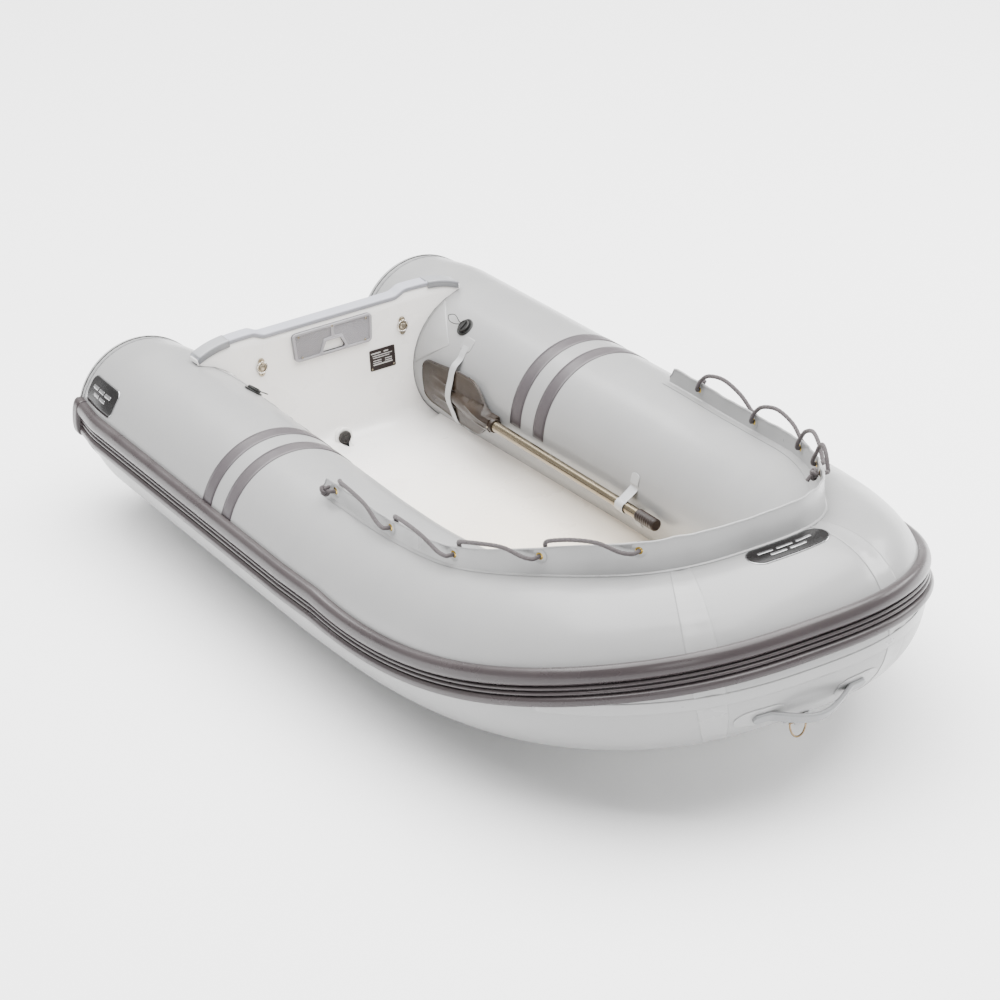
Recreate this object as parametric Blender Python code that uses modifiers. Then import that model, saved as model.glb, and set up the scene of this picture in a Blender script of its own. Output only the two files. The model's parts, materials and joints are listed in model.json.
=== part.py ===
"""Rigid-hull inflatable tender with a three-chamber collar, oars, lifelines and fittings.

Metres. +X is the bow, +Y is port, +Z is up. The origin is on the ground under the middle of the
boat. The collar's centreline (the "route") starts at the starboard stern end, runs round the bow
and ends at the port stern end; most pieces are placed by their distance along it and by an angle
round the tube: 0 outboard, 90 at the crown, 180 inboard, -90 at the bottom.
"""

import math

import bmesh
import bpy
from mathutils import Matrix, Vector

# ---- collar ----
TUBE_RADIUS = 0.205
BOW_TUBE_RADIUS = 0.212
STERN_HALF_BEAM = 0.442  # centreline, at the stern ends
FULL_HALF_BEAM = 0.479  # centreline, where the straight run ends
STRAIGHT_RUN = 1.241
BOW_REACH = 2.397  # stern end of the tubes to the centreline of the bow tube
BOW_FULLNESS = 2.794  # exponent of the superellipse that the bow follows
SHEER_START = 1.417
SHEER_RISE = 0.127
TUBE_HEIGHT = 0.280  # centreline above the keel, at the stern
SKIN = 0.0012  # coated fabric
TUBE_SIDES = 32
BOW_STATIONS = 15  # stretches of the collar from the straight run's end to the bow centre
MITRE_FROM_BOW = 0.185  # seam between a side chamber and the bow chamber, from the bow centre
BAFFLE_DEPTH = 0.045
CONE_LENGTH = 0.085
CONE_STEP_RADIUS = 0.158
CONE_END_RADIUS = 0.100

# ---- hull, liner and transom ----
GLASSFIBRE = 0.0035
KEEL_FLAT = 0.065  # half width of the flat on the keel
KEEL_RISE_START = 1.50
LAND_FACETS = (10, 11, 12)  # the hull flange lies on the tube at these facet edges below outboard
LINER_LAND = -138.5  # the liner's edge meets the tube here
BOW_STEP_START = 1.80  # the floor starts to rise here
TRANSOM_FACE = 0.305  # inner face, from the tubes' stern ends
TRANSOM_BOARD = 0.036
BOARD_HULL_ROOM = 0.0007267  # between the board and the hull, where the board is widest
BOARD_TUBE_ROOM = 0.0024633  # between the board and the tubes
TRANSOM_FILLET = 0.030
TRANSOM_TOP = 0.518  # above the keel, at the middle
TRANSOM_WING = 0.014  # how much higher the outer parts of the transom stand
TRANSOM_WING_START = 0.200
TRANSOM_WING_RAMP = 0.040
TRANSOM_TIP_DROP = 0.030
TRANSOM_TIP_INSET = 0.042  # transom tips, inboard of the tube's centreline
CAPPING = 0.004
CAPPING_LIP = 0.002

# ---- rub strake ----
STRAKE_HALF_HEIGHT = 0.047
STRAKE_ANGLES = (5.2, -28.3, 40.6)  # degrees: constant, linear and square in the sheer ratio
STRAKE_PROFILE = (  # share of the half height, metres proud of the tube
    (-1.00, 0.004),
    (-0.93, 0.013),
    (-0.74, 0.018),
    (-0.52, 0.012),
    (-0.42, 0.008),
    (-0.30, 0.012),
    (-0.17, 0.008),
    (-0.05, 0.012),
    (0.09, 0.008),
    (0.24, 0.016),
    (0.55, 0.023),
    (0.86, 0.016),
    (1.00, 0.004),
)
STRAKE_END = 0.006  # from the stern end of the tube

# ---- bands and badges ----
STRIPE_STARTS = (0.790, 0.900)
STRIPE_WIDTH = 0.050
STRIPE_INNER_ANGLE = 168.0
PATCH = 0.0010  # thickness of a glued-on band or badge
STERN_BADGE = (0.125, 0.185, 0.080)  # along the route, length, height
BADGE_ABOVE_STRAKE = 0.01247  # the stern badge's lower edge from the strake's upper edge
BOW_BADGE = (0.060, 85.4, 0.216, 0.071)

# ---- lifeline flap ----
FLAP_START = 1.200
FLAP_THICKNESS = 0.0024
FLAP_FOOT_IN = 0.018
FLAP_FOOT_OUT = 0.004
FOOT_THICKNESS = 0.0012
FOOT_GAP = 0.0005
FLAP_SIDE_ANGLE = 78.0
FLAP_BOW_ANGLE = 98.0
FLAP_SIDE_HEIGHT = 0.050
FLAP_BOW_HEIGHT = 0.082
FLAP_TURN = (1.75, 2.30)  # route distances between which the flap changes
GROMMET_BELOW_TOP = 0.022
GROMMETS = {
    "starboard": (1.270, 1.547, 1.824, 2.100, 2.378),
    "port": (1.339, 1.610, 1.884, 2.100, 2.215),
}
GROMMET_BORE = 0.0056
GROMMET_BARREL = 0.0008
GROMMET_FLANGE = 0.0095
GROMMET_FLANGE_THICKNESS = 0.0012
ROPE_DIAMETER = 0.009

# ---- valves ----
VALVE_PLACE = (0.460, 128.0)
BOW_VALVE_ANGLE = 150.0
VALVE_FLANGE_RADIUS = 0.025
VALVE_BARREL_RADIUS = 0.020
VALVE_DEPTH = 0.028
VALVE_BORE = 0.0135
VALVE_CAP_RADIUS = 0.0185
VALVE_SEAT_ROOM = 0.0002  # the tube may rise this far under a valve's flange

# ---- transom fittings ----
MOTOR_PAD = (0.250, 0.084, 0.010)  # width, height, thickness
MOTOR_PAD_HEIGHT = 0.452  # centre, above the keel
PAD_WINDOW = (0.070, 0.046, 0.028)  # bottom width, top width, height
PAD_WINDOW_DROP = 0.017  # centre of the window below the centre of the pad
PAD_EYE_PLACE = (0.220, 0.425)
PAD_EYE_RING = 0.0150
PAD_EYE_WIRE = 0.0020
PLATE_PLACE = (0.151, 0.346)
PLATE_SIZE = (0.080, 0.062, 0.0012)
DRAIN_HEIGHT = 0.160
DRAIN_BORE = 0.0150
DRAIN_WALL = 0.0060
DRAIN_FLANGE = 0.0250

# ---- oars ----
OAR_TIP = 0.367
BLADE_LENGTH = 0.385
BLADE_WIDTH = 0.156
BLADE_THICKNESS = 0.004
BLADE_CURVE = 0.250  # radius of the blade's cross curve
BLADE_SET = 0.012  # blade sheet outboard of the shaft's axis
SOCKET_RADIUS = 0.0185
SOCKET_DEPTH = 0.045
SHAFT_RADIUS = 0.0145
SHAFT_WALL = 0.0015
OAR_LENGTH = 1.173
GRIP_RADIUS = 0.0165
GRIP_LENGTH = 0.080
OAR_STANDOFF = 0.0215  # axis to the tube, abreast of the blade
OAR_GRIP_INSET = 0.0205  # axis to the tube, abreast of the grip
STRAP_THICKNESS = 0.0015
BLADE_STRAP = (0.500, 0.025)  # start along the route, width
SHAFT_CLIP = (1.372, 0.034)
STRAP_OVER_BLADE = 0.00075  # the strap clears the blade's edges
STRAP_PLATEAU = 0.9174  # share of the blade's half width that the strap crosses at full height
STRAP_ABOVE_LINER = 0.0161
CLIP_ROOM = 0.0002  # the clip clears the shaft

# ---- bow fittings ----
HANDLE_SPAN = 0.190
HANDLE_FOOT = 0.030
HANDLE_ANGLE = -30.0
HANDLE_RISE = 0.042
HANDLE_WIDTH = 0.027
HANDLE_THICKNESS = 0.005
TOW_RING_ANGLE = -56.0
TOW_PATCH_RADIUS = 0.034
TOW_PATCH_THICKNESS = 0.004
TOW_RING_WIDTH = 0.046
TOW_RING_DROP = 0.042
TOW_WIRE = 0.0025
TOW_LOOP_WIDTH = 0.022

# ---- clearances ----
TOUCH = 0.0003  # between pieces that are glued, clamped or seated
SLIP = 0.0004  # between pieces that turn or slide
LAND_GAP = 0.0010  # bonding adhesive between the hull or the liner and the tubes

SIDES = {"starboard": -1, "port": 1}


# ---------------------------------------------------------------- scene helpers
def new_collection(name):
    collection = bpy.data.collections.new(name)
    bpy.context.scene.collection.children.link(collection)
    return collection


def make_material(name, colour, roughness, metallic=0.0):
    material = bpy.data.materials.new(name)
    material.use_nodes = True
    shader = material.node_tree.nodes["Principled BSDF"]
    shader.inputs["Base Color"].default_value = (*colour, 1.0)
    shader.inputs["Roughness"].default_value = roughness
    shader.inputs["Metallic"].default_value = metallic
    return material


def finish_object(name, mesh, material, origin=(0.0, 0.0, 0.0), smooth=40.0):
    """Put a mesh in the boat's collection, with its vertices given relative to the boat's frame."""
    origin = Vector(origin)
    mesh.transform(Matrix.Translation(-origin))
    mesh.shade_smooth()
    mesh.set_sharp_from_angle(angle=math.radians(smooth))
    thing = bpy.data.objects.new(name, mesh)
    thing.location = origin
    thing.parent = BOAT
    mesh.materials.append(MATERIALS[material])
    PARTS.objects.link(thing)
    return thing


def mesh_from(points, faces, name):
    mesh = bpy.data.meshes.new(name)
    mesh.from_pydata([tuple(point) for point in points], [], faces)
    shape = bmesh.new()
    shape.from_mesh(mesh)
    bmesh.ops.remove_doubles(shape, verts=shape.verts, dist=1e-6)
    bmesh.ops.dissolve_degenerate(shape, edges=shape.edges, dist=1e-7)
    shape.to_mesh(mesh)
    shape.free()
    return mesh


def sheet_mesh(rows, name, wrap=False, flip=False):
    """An open surface through rows of points; it faces row direction x point direction."""
    count = len(rows[0])
    points = [point for row in rows for point in row]
    faces = []
    for i in range(len(rows) - 1):
        for j in range(count if wrap else count - 1):
            k = (j + 1) % count
            face = (i * count + j, (i + 1) * count + j, (i + 1) * count + k, i * count + k)
            faces.append(face[::-1] if flip else face)
    return mesh_from(points, faces, name)


def shell(name, rows, thickness, material, wrap=False, flip=False, outward=False, origin=(0, 0, 0)):
    """A sheet of the given thickness, built behind the rows, or in front of them if outward."""
    thing = finish_object(name, sheet_mesh(rows, name, wrap, flip), material, origin)
    solid = thing.modifiers.new("thickness", "SOLIDIFY")
    solid.thickness = thickness
    solid.offset = 1.0 if outward else -1.0
    solid.use_even_offset = True
    return thing


def loft(name, rings, material, origin=(0, 0, 0), smooth=40.0):
    """A closed solid through closed rings of points, capped at both ends."""
    count = len(rings[0])
    points = [point for ring in rings for point in ring]
    faces = []
    for i in range(len(rings) - 1):
        for j in range(count):
            k = (j + 1) % count
            faces.append((i * count + j, (i + 1) * count + j, (i + 1) * count + k, i * count + k))
    last = (len(rings) - 1) * count
    faces.append(tuple(range(count)))
    faces.append(tuple(last + j for j in reversed(range(count))))
    mesh = mesh_from(points, faces, name)
    shape = bmesh.new()
    shape.from_mesh(mesh)
    bmesh.ops.recalc_face_normals(shape, faces=shape.faces)
    shape.to_mesh(mesh)
    shape.free()
    return finish_object(name, mesh, material, origin, smooth)


def turned(name, profile, place, material=None, segments=24, smooth=40.0):
    """A solid turned about the local Z of place, from (radius, height) pairs; a ring if bored."""
    bored = profile[0][0] > 0 and profile[-1][0] > 0
    rings = []
    for step in range(segments):
        turn = 2 * math.pi * step / segments
        rings.append([place @ Vector((r * math.cos(turn), r * math.sin(turn), h)) for r, h in profile])
    count = len(profile)
    faces = []
    for i in range(segments):
        n = (i + 1) % segments
        for j in range(count if bored else count - 1):
            k = (j + 1) % count
            faces.append((i * count + j, n * count + j, n * count + k, i * count + k))
    mesh = mesh_from([point for ring in rings for point in ring], faces, name)
    shape = bmesh.new()
    shape.from_mesh(mesh)
    bmesh.ops.recalc_face_normals(shape, faces=shape.faces)
    shape.to_mesh(mesh)
    shape.free()
    if material is None:
        return make_cutter(name, mesh)
    return finish_object(name, mesh, material, place.translation, smooth)


def make_cutter(name, mesh):
    thing = bpy.data.objects.new(name, mesh)
    thing.parent = BOAT
    thing.hide_render = True
    thing.display_type = "WIRE"
    CUTTERS.objects.link(thing)
    return thing


def rod_cutter(name, place, radius, low, high, segments=24):
    return turned(name, ((0.0, low), (radius, low), (radius, high), (0.0, high)), place, None, segments)


def combine(thing, cutter, operation="DIFFERENCE"):
    step = thing.modifiers.new(cutter.name, "BOOLEAN")
    step.object = cutter
    step.operation = operation
    step.solver = "EXACT"


def smooth_step(value, low, high):
    share = min(max((value - low) / (high - low), 0.0), 1.0)
    return share * share * (3 - 2 * share)


def axis_place(origin, z_axis, y_hint=(0, 0, 1)):
    """A placement whose local Z is z_axis and whose local Y is as near y_hint as it can be."""
    z_axis = Vector(z_axis).normalized()
    x_axis = Vector(y_hint).cross(z_axis).normalized()
    y_axis = z_axis.cross(x_axis)
    turn = Matrix((x_axis, y_axis, z_axis)).transposed().to_4x4()
    return Matrix.Translation(Vector(origin)) @ turn


# ---------------------------------------------------------------- the collar's route
def sheer_ratio(x):
    return max(0.0, (x - SHEER_START) / (BOW_REACH - SHEER_START))


def half_route(count=900):
    """Points from the starboard stern end to the bow centre, on the tube's centreline."""
    points = []
    for i in range(count):
        x = STRAIGHT_RUN * i / count
        points.append((x, STERN_HALF_BEAM + (FULL_HALF_BEAM - STERN_HALF_BEAM) * x / STRAIGHT_RUN))
    for i in range(count + 1):
        turn = 0.5 * math.pi * i / count
        x = STRAIGHT_RUN + (BOW_REACH - STRAIGHT_RUN) * math.sin(turn) ** (2 / BOW_FULLNESS)
        points.append((x, FULL_HALF_BEAM * max(math.cos(turn), 0.0) ** (2 / BOW_FULLNESS)))
    return [Vector((x, -y, TUBE_HEIGHT + SHEER_RISE * sheer_ratio(x) ** 2)) for x, y in points]


def measure_route():
    starboard = half_route()
    points = starboard + [Vector((p.x, -p.y, p.z)) for p in reversed(starboard[:-1])]
    lengths = [0.0]
    for a, b in zip(points, points[1:]):
        lengths.append(lengths[-1] + (b - a).length)
    return points, lengths


ROUTE, LENGTHS = measure_route()
ROUTE_LENGTH = LENGTHS[-1]
BOW = 0.5 * ROUTE_LENGTH


def route_point(s):
    s = min(max(s, 0.0), ROUTE_LENGTH)
    low, high = 0, len(LENGTHS) - 1
    while high - low > 1:
        middle = (low + high) // 2
        if LENGTHS[middle] <= s:
            low = middle
        else:
            high = middle
    share = (s - LENGTHS[low]) / (LENGTHS[high] - LENGTHS[low])
    return ROUTE[low].lerp(ROUTE[high], share)


def route_frame(s):
    """Centre, forward, outboard and upward directions of the tube at a distance along the route."""
    centre = route_point(s)
    reach = 0.004
    forward = (route_point(s + reach) - route_point(s - reach)).normalized()
    outboard = forward.cross(Vector((0, 0, 1))).normalized()
    return centre, forward, outboard, outboard.cross(forward)


def tube_radius(s):
    return TUBE_RADIUS + (BOW_TUBE_RADIUS - TUBE_RADIUS) * sheer_ratio(route_point(s).x)


def on_side(s, side):
    """The same distance on the starboard or the port run of the route."""
    return s if side == "starboard" else ROUTE_LENGTH - s


def route_at_x(x):
    """Distance along the starboard run at which the centreline reaches x."""
    low, high = 0.0, BOW
    for _ in range(40):
        middle = 0.5 * (low + high)
        if route_point(middle).x < x:
            low = middle
        else:
            high = middle
    return low


def collar_marks():
    """Distances at which the collar bends: the same for every piece that lies on it."""
    seam = BOW - MITRE_FROM_BOW
    first = route_at_x(STRAIGHT_RUN)
    count = BOW_STATIONS
    marks = [0.0, 0.5 * first]
    marks += [first + (BOW - first) * i / count for i in range(count + 1)]
    marks = [s for s in marks if abs(s - seam) > 0.015]
    fixed = [seam - TOUCH, seam + TOUCH]
    room = GROMMET_FLANGE + 0.004
    for s in [*GROMMETS["starboard"], *GROMMETS["port"]]:
        marks = [
            s + math.copysign(room, mark - s) if abs(mark - s) < room else mark for mark in marks
        ]
    half = sorted(marks + fixed)
    return half + [ROUTE_LENGTH - s for s in reversed(half[:-1])]


MARKS = collar_marks()


def stations(start, end):
    """Route distances for a loft that lies on the collar between two ends."""
    inside = [s for s in MARKS if start + 1e-6 < s < end - 1e-6]
    return [start] + inside + [end]


def round_point(s, angle, proud):
    centre, _, outboard, up = route_frame(s)
    turn = math.radians(angle)
    return centre + (tube_radius(s) + proud) * (math.cos(turn) * outboard + math.sin(turn) * up)


def around_mark(s):
    """The marks before and after a distance, and how far it is between them."""
    for low, high in zip(MARKS, MARKS[1:]):
        if s <= high:
            return low, high, (s - low) / (high - low)
    return MARKS[-2], MARKS[-1], 1.0


def tube_point(s, angle, proud=0.0):
    """On the tube, which runs straight from one mark to the next."""
    low, high, share = around_mark(s)
    return round_point(low, angle, proud).lerp(round_point(high, angle, proud), share)


def facet_point(s, angle, proud=0.0):
    """On the flat between two of the tube's lengthwise edges."""
    step = 360.0 / TUBE_SIDES
    beside = math.radians(angle % step - 0.5 * step)
    sunk = tube_radius(s) * (1 - math.cos(math.radians(0.5 * step)) / math.cos(beside))
    return tube_point(s, angle, proud - sunk)


def facet_angles(low, high):
    """Two angles and the tube's lengthwise edges between them."""
    step = 360.0 / TUBE_SIDES
    first = math.ceil((low + 0.3) / step)
    last = math.floor((high - 0.3) / step)
    return [low, *[i * step for i in range(first, last + 1)], high]


def tube_normal(s, angle):
    _, _, outboard, up = route_frame(s)
    turn = math.radians(angle)
    return math.cos(turn) * outboard + math.sin(turn) * up


# ---------------------------------------------------------------- collar pieces
def make_tube(name, start, end):
    rows = []
    for s in stations(start, end):
        rows.append([tube_point(s, 360.0 * j / TUBE_SIDES) for j in range(TUBE_SIDES)])
    return shell(name, rows, SKIN, "tube_fabric", wrap=True)


def tube_section_place(s):
    centre, forward, _, up = route_frame(s)
    return axis_place(centre, forward, up)


def make_baffle(name, s):
    """A dished fabric wall between two chambers, bowed towards the stern."""
    radius = (tube_radius(s) - SKIN) * math.cos(math.pi / TUBE_SIDES) - 5 * TOUCH
    sign = -1 if s < BOW else 1
    profile = []
    for i in range(5):
        share = math.sin(0.5 * math.pi * i / 4)
        profile.append((radius * share, sign * BAFFLE_DEPTH * (1 - share * share)))
    back = [(r, h + SKIN) for r, h in reversed(profile)]
    turned(name, [*profile, *back], tube_section_place(s), "tube_fabric", 24)


def make_stern_cone(name, side):
    """The moulded end of a side tube: a rounded shoulder, a step and a short cone."""
    s = on_side(0.0, side)
    centre, forward, _, up = route_frame(s)
    aft = -forward if side == "starboard" else forward
    outer = []
    for i in range(4):
        turn = math.radians(90 * i / 3)
        outer.append((
            CONE_STEP_RADIUS + (TUBE_RADIUS - CONE_STEP_RADIUS) * math.cos(turn),
            TOUCH + 0.34 * CONE_LENGTH * math.sin(turn),
        ))
    outer.append((CONE_STEP_RADIUS - 0.006, 0.40 * CONE_LENGTH))
    outer.append((CONE_END_RADIUS + 0.012, 0.92 * CONE_LENGTH))
    outer.append((CONE_END_RADIUS, CONE_LENGTH))
    outer.append((0.0, CONE_LENGTH))
    wall = 0.003
    inner = [
        (0.0, CONE_LENGTH - wall),
        (CONE_END_RADIUS - wall, CONE_LENGTH - wall),
        (CONE_STEP_RADIUS - 3 * wall, 0.36 * CONE_LENGTH),
        (0.9 * TUBE_RADIUS, 0.20 * CONE_LENGTH),
        (TUBE_RADIUS - wall, TOUCH),
    ]
    turned(name, outer + inner, axis_place(centre, aft, up), "tube_fabric", TUBE_SIDES)


def strake_angle(s):
    ratio = sheer_ratio(route_point(s).x)
    constant, linear, square = STRAKE_ANGLES
    return constant + linear * ratio + square * ratio * ratio


def make_rub_strake():
    rings = []
    backs = 7
    for s in stations(STRAKE_END, ROUTE_LENGTH - STRAKE_END):
        radius = tube_radius(s)
        middle = strake_angle(s)
        ring = []
        for share, proud in STRAKE_PROFILE:
            ring.append(tube_point(s, middle + math.degrees(share * STRAKE_HALF_HEIGHT / radius), proud))
        for i in range(backs):
            share = 1 - 2 * i / (backs - 1)
            ring.append(tube_point(s, middle + math.degrees(share * STRAKE_HALF_HEIGHT / radius), 2 * TOUCH))
        rings.append(ring)
    loft("rub_strake", rings, "strake_rubber")


def make_stripes(side):
    start_angle = strake_angle(0.0) + math.degrees(STRAKE_HALF_HEIGHT / TUBE_RADIUS) + 0.4
    for place, start in zip(("aft", "fore"), STRIPE_STARTS):
        ends = sorted((on_side(start, side), on_side(start + STRIPE_WIDTH, side)))
        angles = facet_angles(start_angle, STRIPE_INNER_ANGLE)
        grid = [[facet_point(s, angle, TOUCH) for angle in angles] for s in ends]
        shell(f"stripe_{place}_{side}", grid, PATCH, "strake_rubber", outward=True)


def stern_badge_angle():
    along, _, height = STERN_BADGE
    above = STRAKE_HALF_HEIGHT + BADGE_ABOVE_STRAKE + 0.5 * height
    return strake_angle(along) + math.degrees(above / tube_radius(along))


def make_badge(name, middle, angle, length, height, corner):
    """A rounded label that follows the tube; corner is the radius of its ends."""
    rows = []
    flat = 0.5 * length - corner
    turns = [math.radians(90 * (1 - i / 4)) for i in range(5)]
    ends = [(-flat - corner * math.sin(turn), corner * (1 - math.cos(turn))) for turn in turns]
    ends += [(s - middle, 0.0) for s in MARKS if abs(s - middle) < flat - 0.002]
    ends += [(-beyond, inset) for beyond, inset in ends[:5]]
    for along, inset in sorted(ends):
        half = math.degrees((0.5 * height - inset) / tube_radius(middle)) + 0.02
        rows.append([tube_point(middle + along, angle + half * (j - 2) / 2, TOUCH) for j in range(5)])
    shell(name, rows, PATCH, "badge_black", outward=True)


# ---------------------------------------------------------------- lifeline flap, grommets and ropes
def flap_blend(s):
    return smooth_step(min(s, ROUTE_LENGTH - s), *FLAP_TURN)


def flap_angle(s):
    return FLAP_SIDE_ANGLE + (FLAP_BOW_ANGLE - FLAP_SIDE_ANGLE) * flap_blend(s)


def flap_height(s):
    return FLAP_SIDE_HEIGHT + (FLAP_BOW_HEIGHT - FLAP_SIDE_HEIGHT) * flap_blend(s)


def flap_level(s, below_top):
    """On the middle of the flap, below its top edge."""
    foot = round_point(s, flap_angle(s), FOOT_GAP + FOOT_THICKNESS)
    return foot + Vector((0, 0, flap_height(s) - below_top))


def flap_ring(s):
    _, _, outboard, _ = route_frame(s)
    angle = flap_angle(s)
    inner = math.degrees(FLAP_FOOT_IN / tube_radius(s))
    outer = math.degrees(FLAP_FOOT_OUT / tube_radius(s))
    half = 0.5 * FLAP_THICKNESS * outboard
    top = Vector((0, 0, flap_height(s)))
    high = FOOT_GAP + FOOT_THICKNESS
    foot = round_point(s, angle, high)
    return [
        round_point(s, angle - outer, FOOT_GAP),
        round_point(s, angle + 0.5 * inner, FOOT_GAP),
        round_point(s, angle + inner, FOOT_GAP),
        round_point(s, angle + inner, high),
        foot - half,
        foot - half + top,
        foot + half + top,
        foot + half,
        round_point(s, angle - outer, high),
    ]


def grommet_place(side, s):
    """In the flap, square to it, with local Z pointing outboard."""
    low, high, share = around_mark(on_side(s, side))
    before = flap_level(low, GROMMET_BELOW_TOP)
    after = flap_level(high, GROMMET_BELOW_TOP)
    up = (flap_level(low, 0.0) - flap_level(low, 0.01)).normalized()
    return axis_place(before.lerp(after, share), (after - before).cross(up))


def make_flap():
    marks = [MARKS[i] for i in range(len(MARKS)) if FLAP_START < MARKS[i] < ROUTE_LENGTH - FLAP_START]
    flap = loft("lifeline_flap", [flap_ring(s) for s in marks], "flap_fabric")
    for side in SIDES:
        for number, s in enumerate(GROMMETS[side], 1):
            hole = rod_cutter(
                f"cut_grommet_{side}_{number}",
                grommet_place(side, s),
                GROMMET_BORE + GROMMET_BARREL + TOUCH,
                -0.02,
                0.02,
                16,
            )
            combine(flap, hole)


def make_grommets(side):
    grip = 0.5 * FLAP_THICKNESS + TOUCH
    lip = grip + GROMMET_FLANGE_THICKNESS
    barrel = GROMMET_BORE + GROMMET_BARREL
    profile = (
        (GROMMET_BORE, -lip),
        (GROMMET_FLANGE, -grip),
        (barrel, -grip),
        (barrel, grip),
        (GROMMET_FLANGE, grip),
        (GROMMET_BORE, lip),
    )
    for number, s in enumerate(GROMMETS[side], 1):
        turned(f"grommet_{side}_{number}", profile, grommet_place(side, s), "brass", 16)


def rope_stations(side):
    """The rope's route as (distance, outboard of the flap, above the grommet line)."""
    marks = GROMMETS[side]
    loft_up = 0.030 if side == "port" else 0.014
    top = GROMMET_BELOW_TOP + 0.5 * ROPE_DIAMETER
    route = [(marks[0] - 0.040, 0.020, -0.002)]
    for here, there in zip(marks, marks[1:]):
        span = there - here
        route += [
            (here - 0.014, 0.017, 0.000),
            (here - 0.003, 0.012, 0.000),
            (here, 0.003, 0.000),
            (here, -0.003, 0.000),
            (here + 0.003, -0.0105, 0.002),
            (here + 0.008, -0.0115, 0.013),
            (here + 0.016, -0.0050, top + 0.003),
            (here + 0.15 * span, 0.005, top + 0.60 * loft_up + 0.004),
            (here + 0.38 * span, 0.012, top + loft_up),
            (here + 0.64 * span, 0.017, top + 0.40 * loft_up),
            (here + 0.84 * span, 0.018, 0.008),
        ]
    last = marks[-1]
    route += [(last - 0.014, 0.017, 0.0), (last - 0.003, 0.012, 0.0), (last, 0.003, 0.0)]
    return route + [(last, -0.005, 0.0), (last, -0.014, -0.001), (last + 0.007, -0.030, -0.006)]


def rope_points(side):
    points = []
    for s, out, high in rope_stations(side):
        place = grommet_place(side, s)
        points.append(place @ Vector((0.0, high, out)))
    return points


def through(points, per_span):
    """Points of a smooth curve through the given ones (a Catmull-Rom spline)."""
    padded = [2 * points[0] - points[1], *points, 2 * points[-1] - points[-2]]
    result = []
    for a, b, c, d in zip(padded, padded[1:], padded[2:], padded[3:]):
        for i in range(per_span):
            t = i / per_span
            square = (2 * a - 5 * b + 4 * c - d) * t * t
            cube = (3 * b - a - 3 * c + d) * t**3
            result.append(0.5 * (2 * b + (c - a) * t + square + cube))
    return [*result, points[-1]]


def thinned(points, reach, bend):
    """Fewer points: kept where the line has run on by reach or has turned by bend degrees."""
    kept = [points[0]]
    heading = (points[1] - points[0]).normalized()
    for here, there in zip(points[1:], points[2:]):
        onward = (there - here).normalized()
        if (here - kept[-1]).length > reach or onward.angle(heading) > math.radians(bend):
            kept.append(here)
            heading = onward
    return [*kept, points[-1]]


def make_wire(name, points, diameter, material, cyclic=False, resolution=2):
    curve = bpy.data.curves.new(name, "CURVE")
    curve.dimensions = "3D"
    curve.bevel_depth = 0.5 * diameter
    curve.bevel_resolution = resolution
    curve.use_fill_caps = True
    spline = curve.splines.new("POLY")
    spline.points.add(len(points) - 1)
    for slot, point in zip(spline.points, points):
        slot.co = (*point, 1.0)
    spline.use_cyclic_u = cyclic
    curve.materials.append(MATERIALS[material])
    thing = bpy.data.objects.new(name, curve)
    thing.parent = BOAT
    PARTS.objects.link(thing)
    return thing


def make_lifeline(side):
    points = thinned(through(rope_points(side), 4), 2.8 * ROPE_DIAMETER, 20.0)
    make_wire(f"lifeline_{side}", points, ROPE_DIAMETER, "rope", resolution=1)


# ---------------------------------------------------------------- hull, liner and transom
def keel_height(x, end_x, end_z):
    share = min(max((x - KEEL_RISE_START) / (end_x - KEEL_RISE_START), 0.0), 1.0)
    return end_z * share**2.3


def land_angle(facet):
    return -360.0 * facet / TUBE_SIDES


def hull_row(s):
    """One athwartships row of the hull's outer surface, from the starboard edge to the port edge."""
    land = [tube_point(s, land_angle(facet), LAND_GAP) for facet in reversed(LAND_FACETS)]
    stem = tube_point(BOW, land_angle(LAND_FACETS[0]), LAND_GAP)
    corner = land[-1]
    flat = min(KEEL_FLAT, 0.35 * abs(corner.y))
    keel = Vector((corner.x, 0.0, keel_height(corner.x, stem.x, stem.z)))
    edge = Vector((keel.x, -flat, keel.z))
    half = land + [corner.lerp(edge, 0.33), corner.lerp(edge, 0.67), edge]
    mirrored = [Vector((p.x, -p.y, p.z)) for p in reversed(half)]
    if abs(corner.y) < 1e-5:
        half = [Vector((p.x, 0.0, p.z)) for p in half]
        mirrored = [Vector((p.x, 0.0, p.z)) for p in mirrored]
    return half + mirrored


def make_hull():
    start = TRANSOM_FACE - TRANSOM_BOARD - GLASSFIBRE
    rows = [hull_row(s) for s in stations(start, BOW) if s <= BOW]
    shell("hull_shell", rows, GLASSFIBRE, "glassfibre", flip=True)


def tube_inner_width(x, z, gap):
    """Half width of the cockpit between the side tubes at x and height z."""
    centre = route_point(route_at_x(x))
    rise = min(max(z - centre.z, -TUBE_RADIUS), TUBE_RADIUS)
    reach = math.sqrt(max((TUBE_RADIUS + gap) ** 2 - rise * rise, 0.0))
    if z > centre.z:
        reach = max(reach, TRANSOM_TIP_INSET)
    return -centre.y - reach


def transom_tip():
    return tube_inner_width(TRANSOM_FACE, TRANSOM_TOP, 0.0025)


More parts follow.
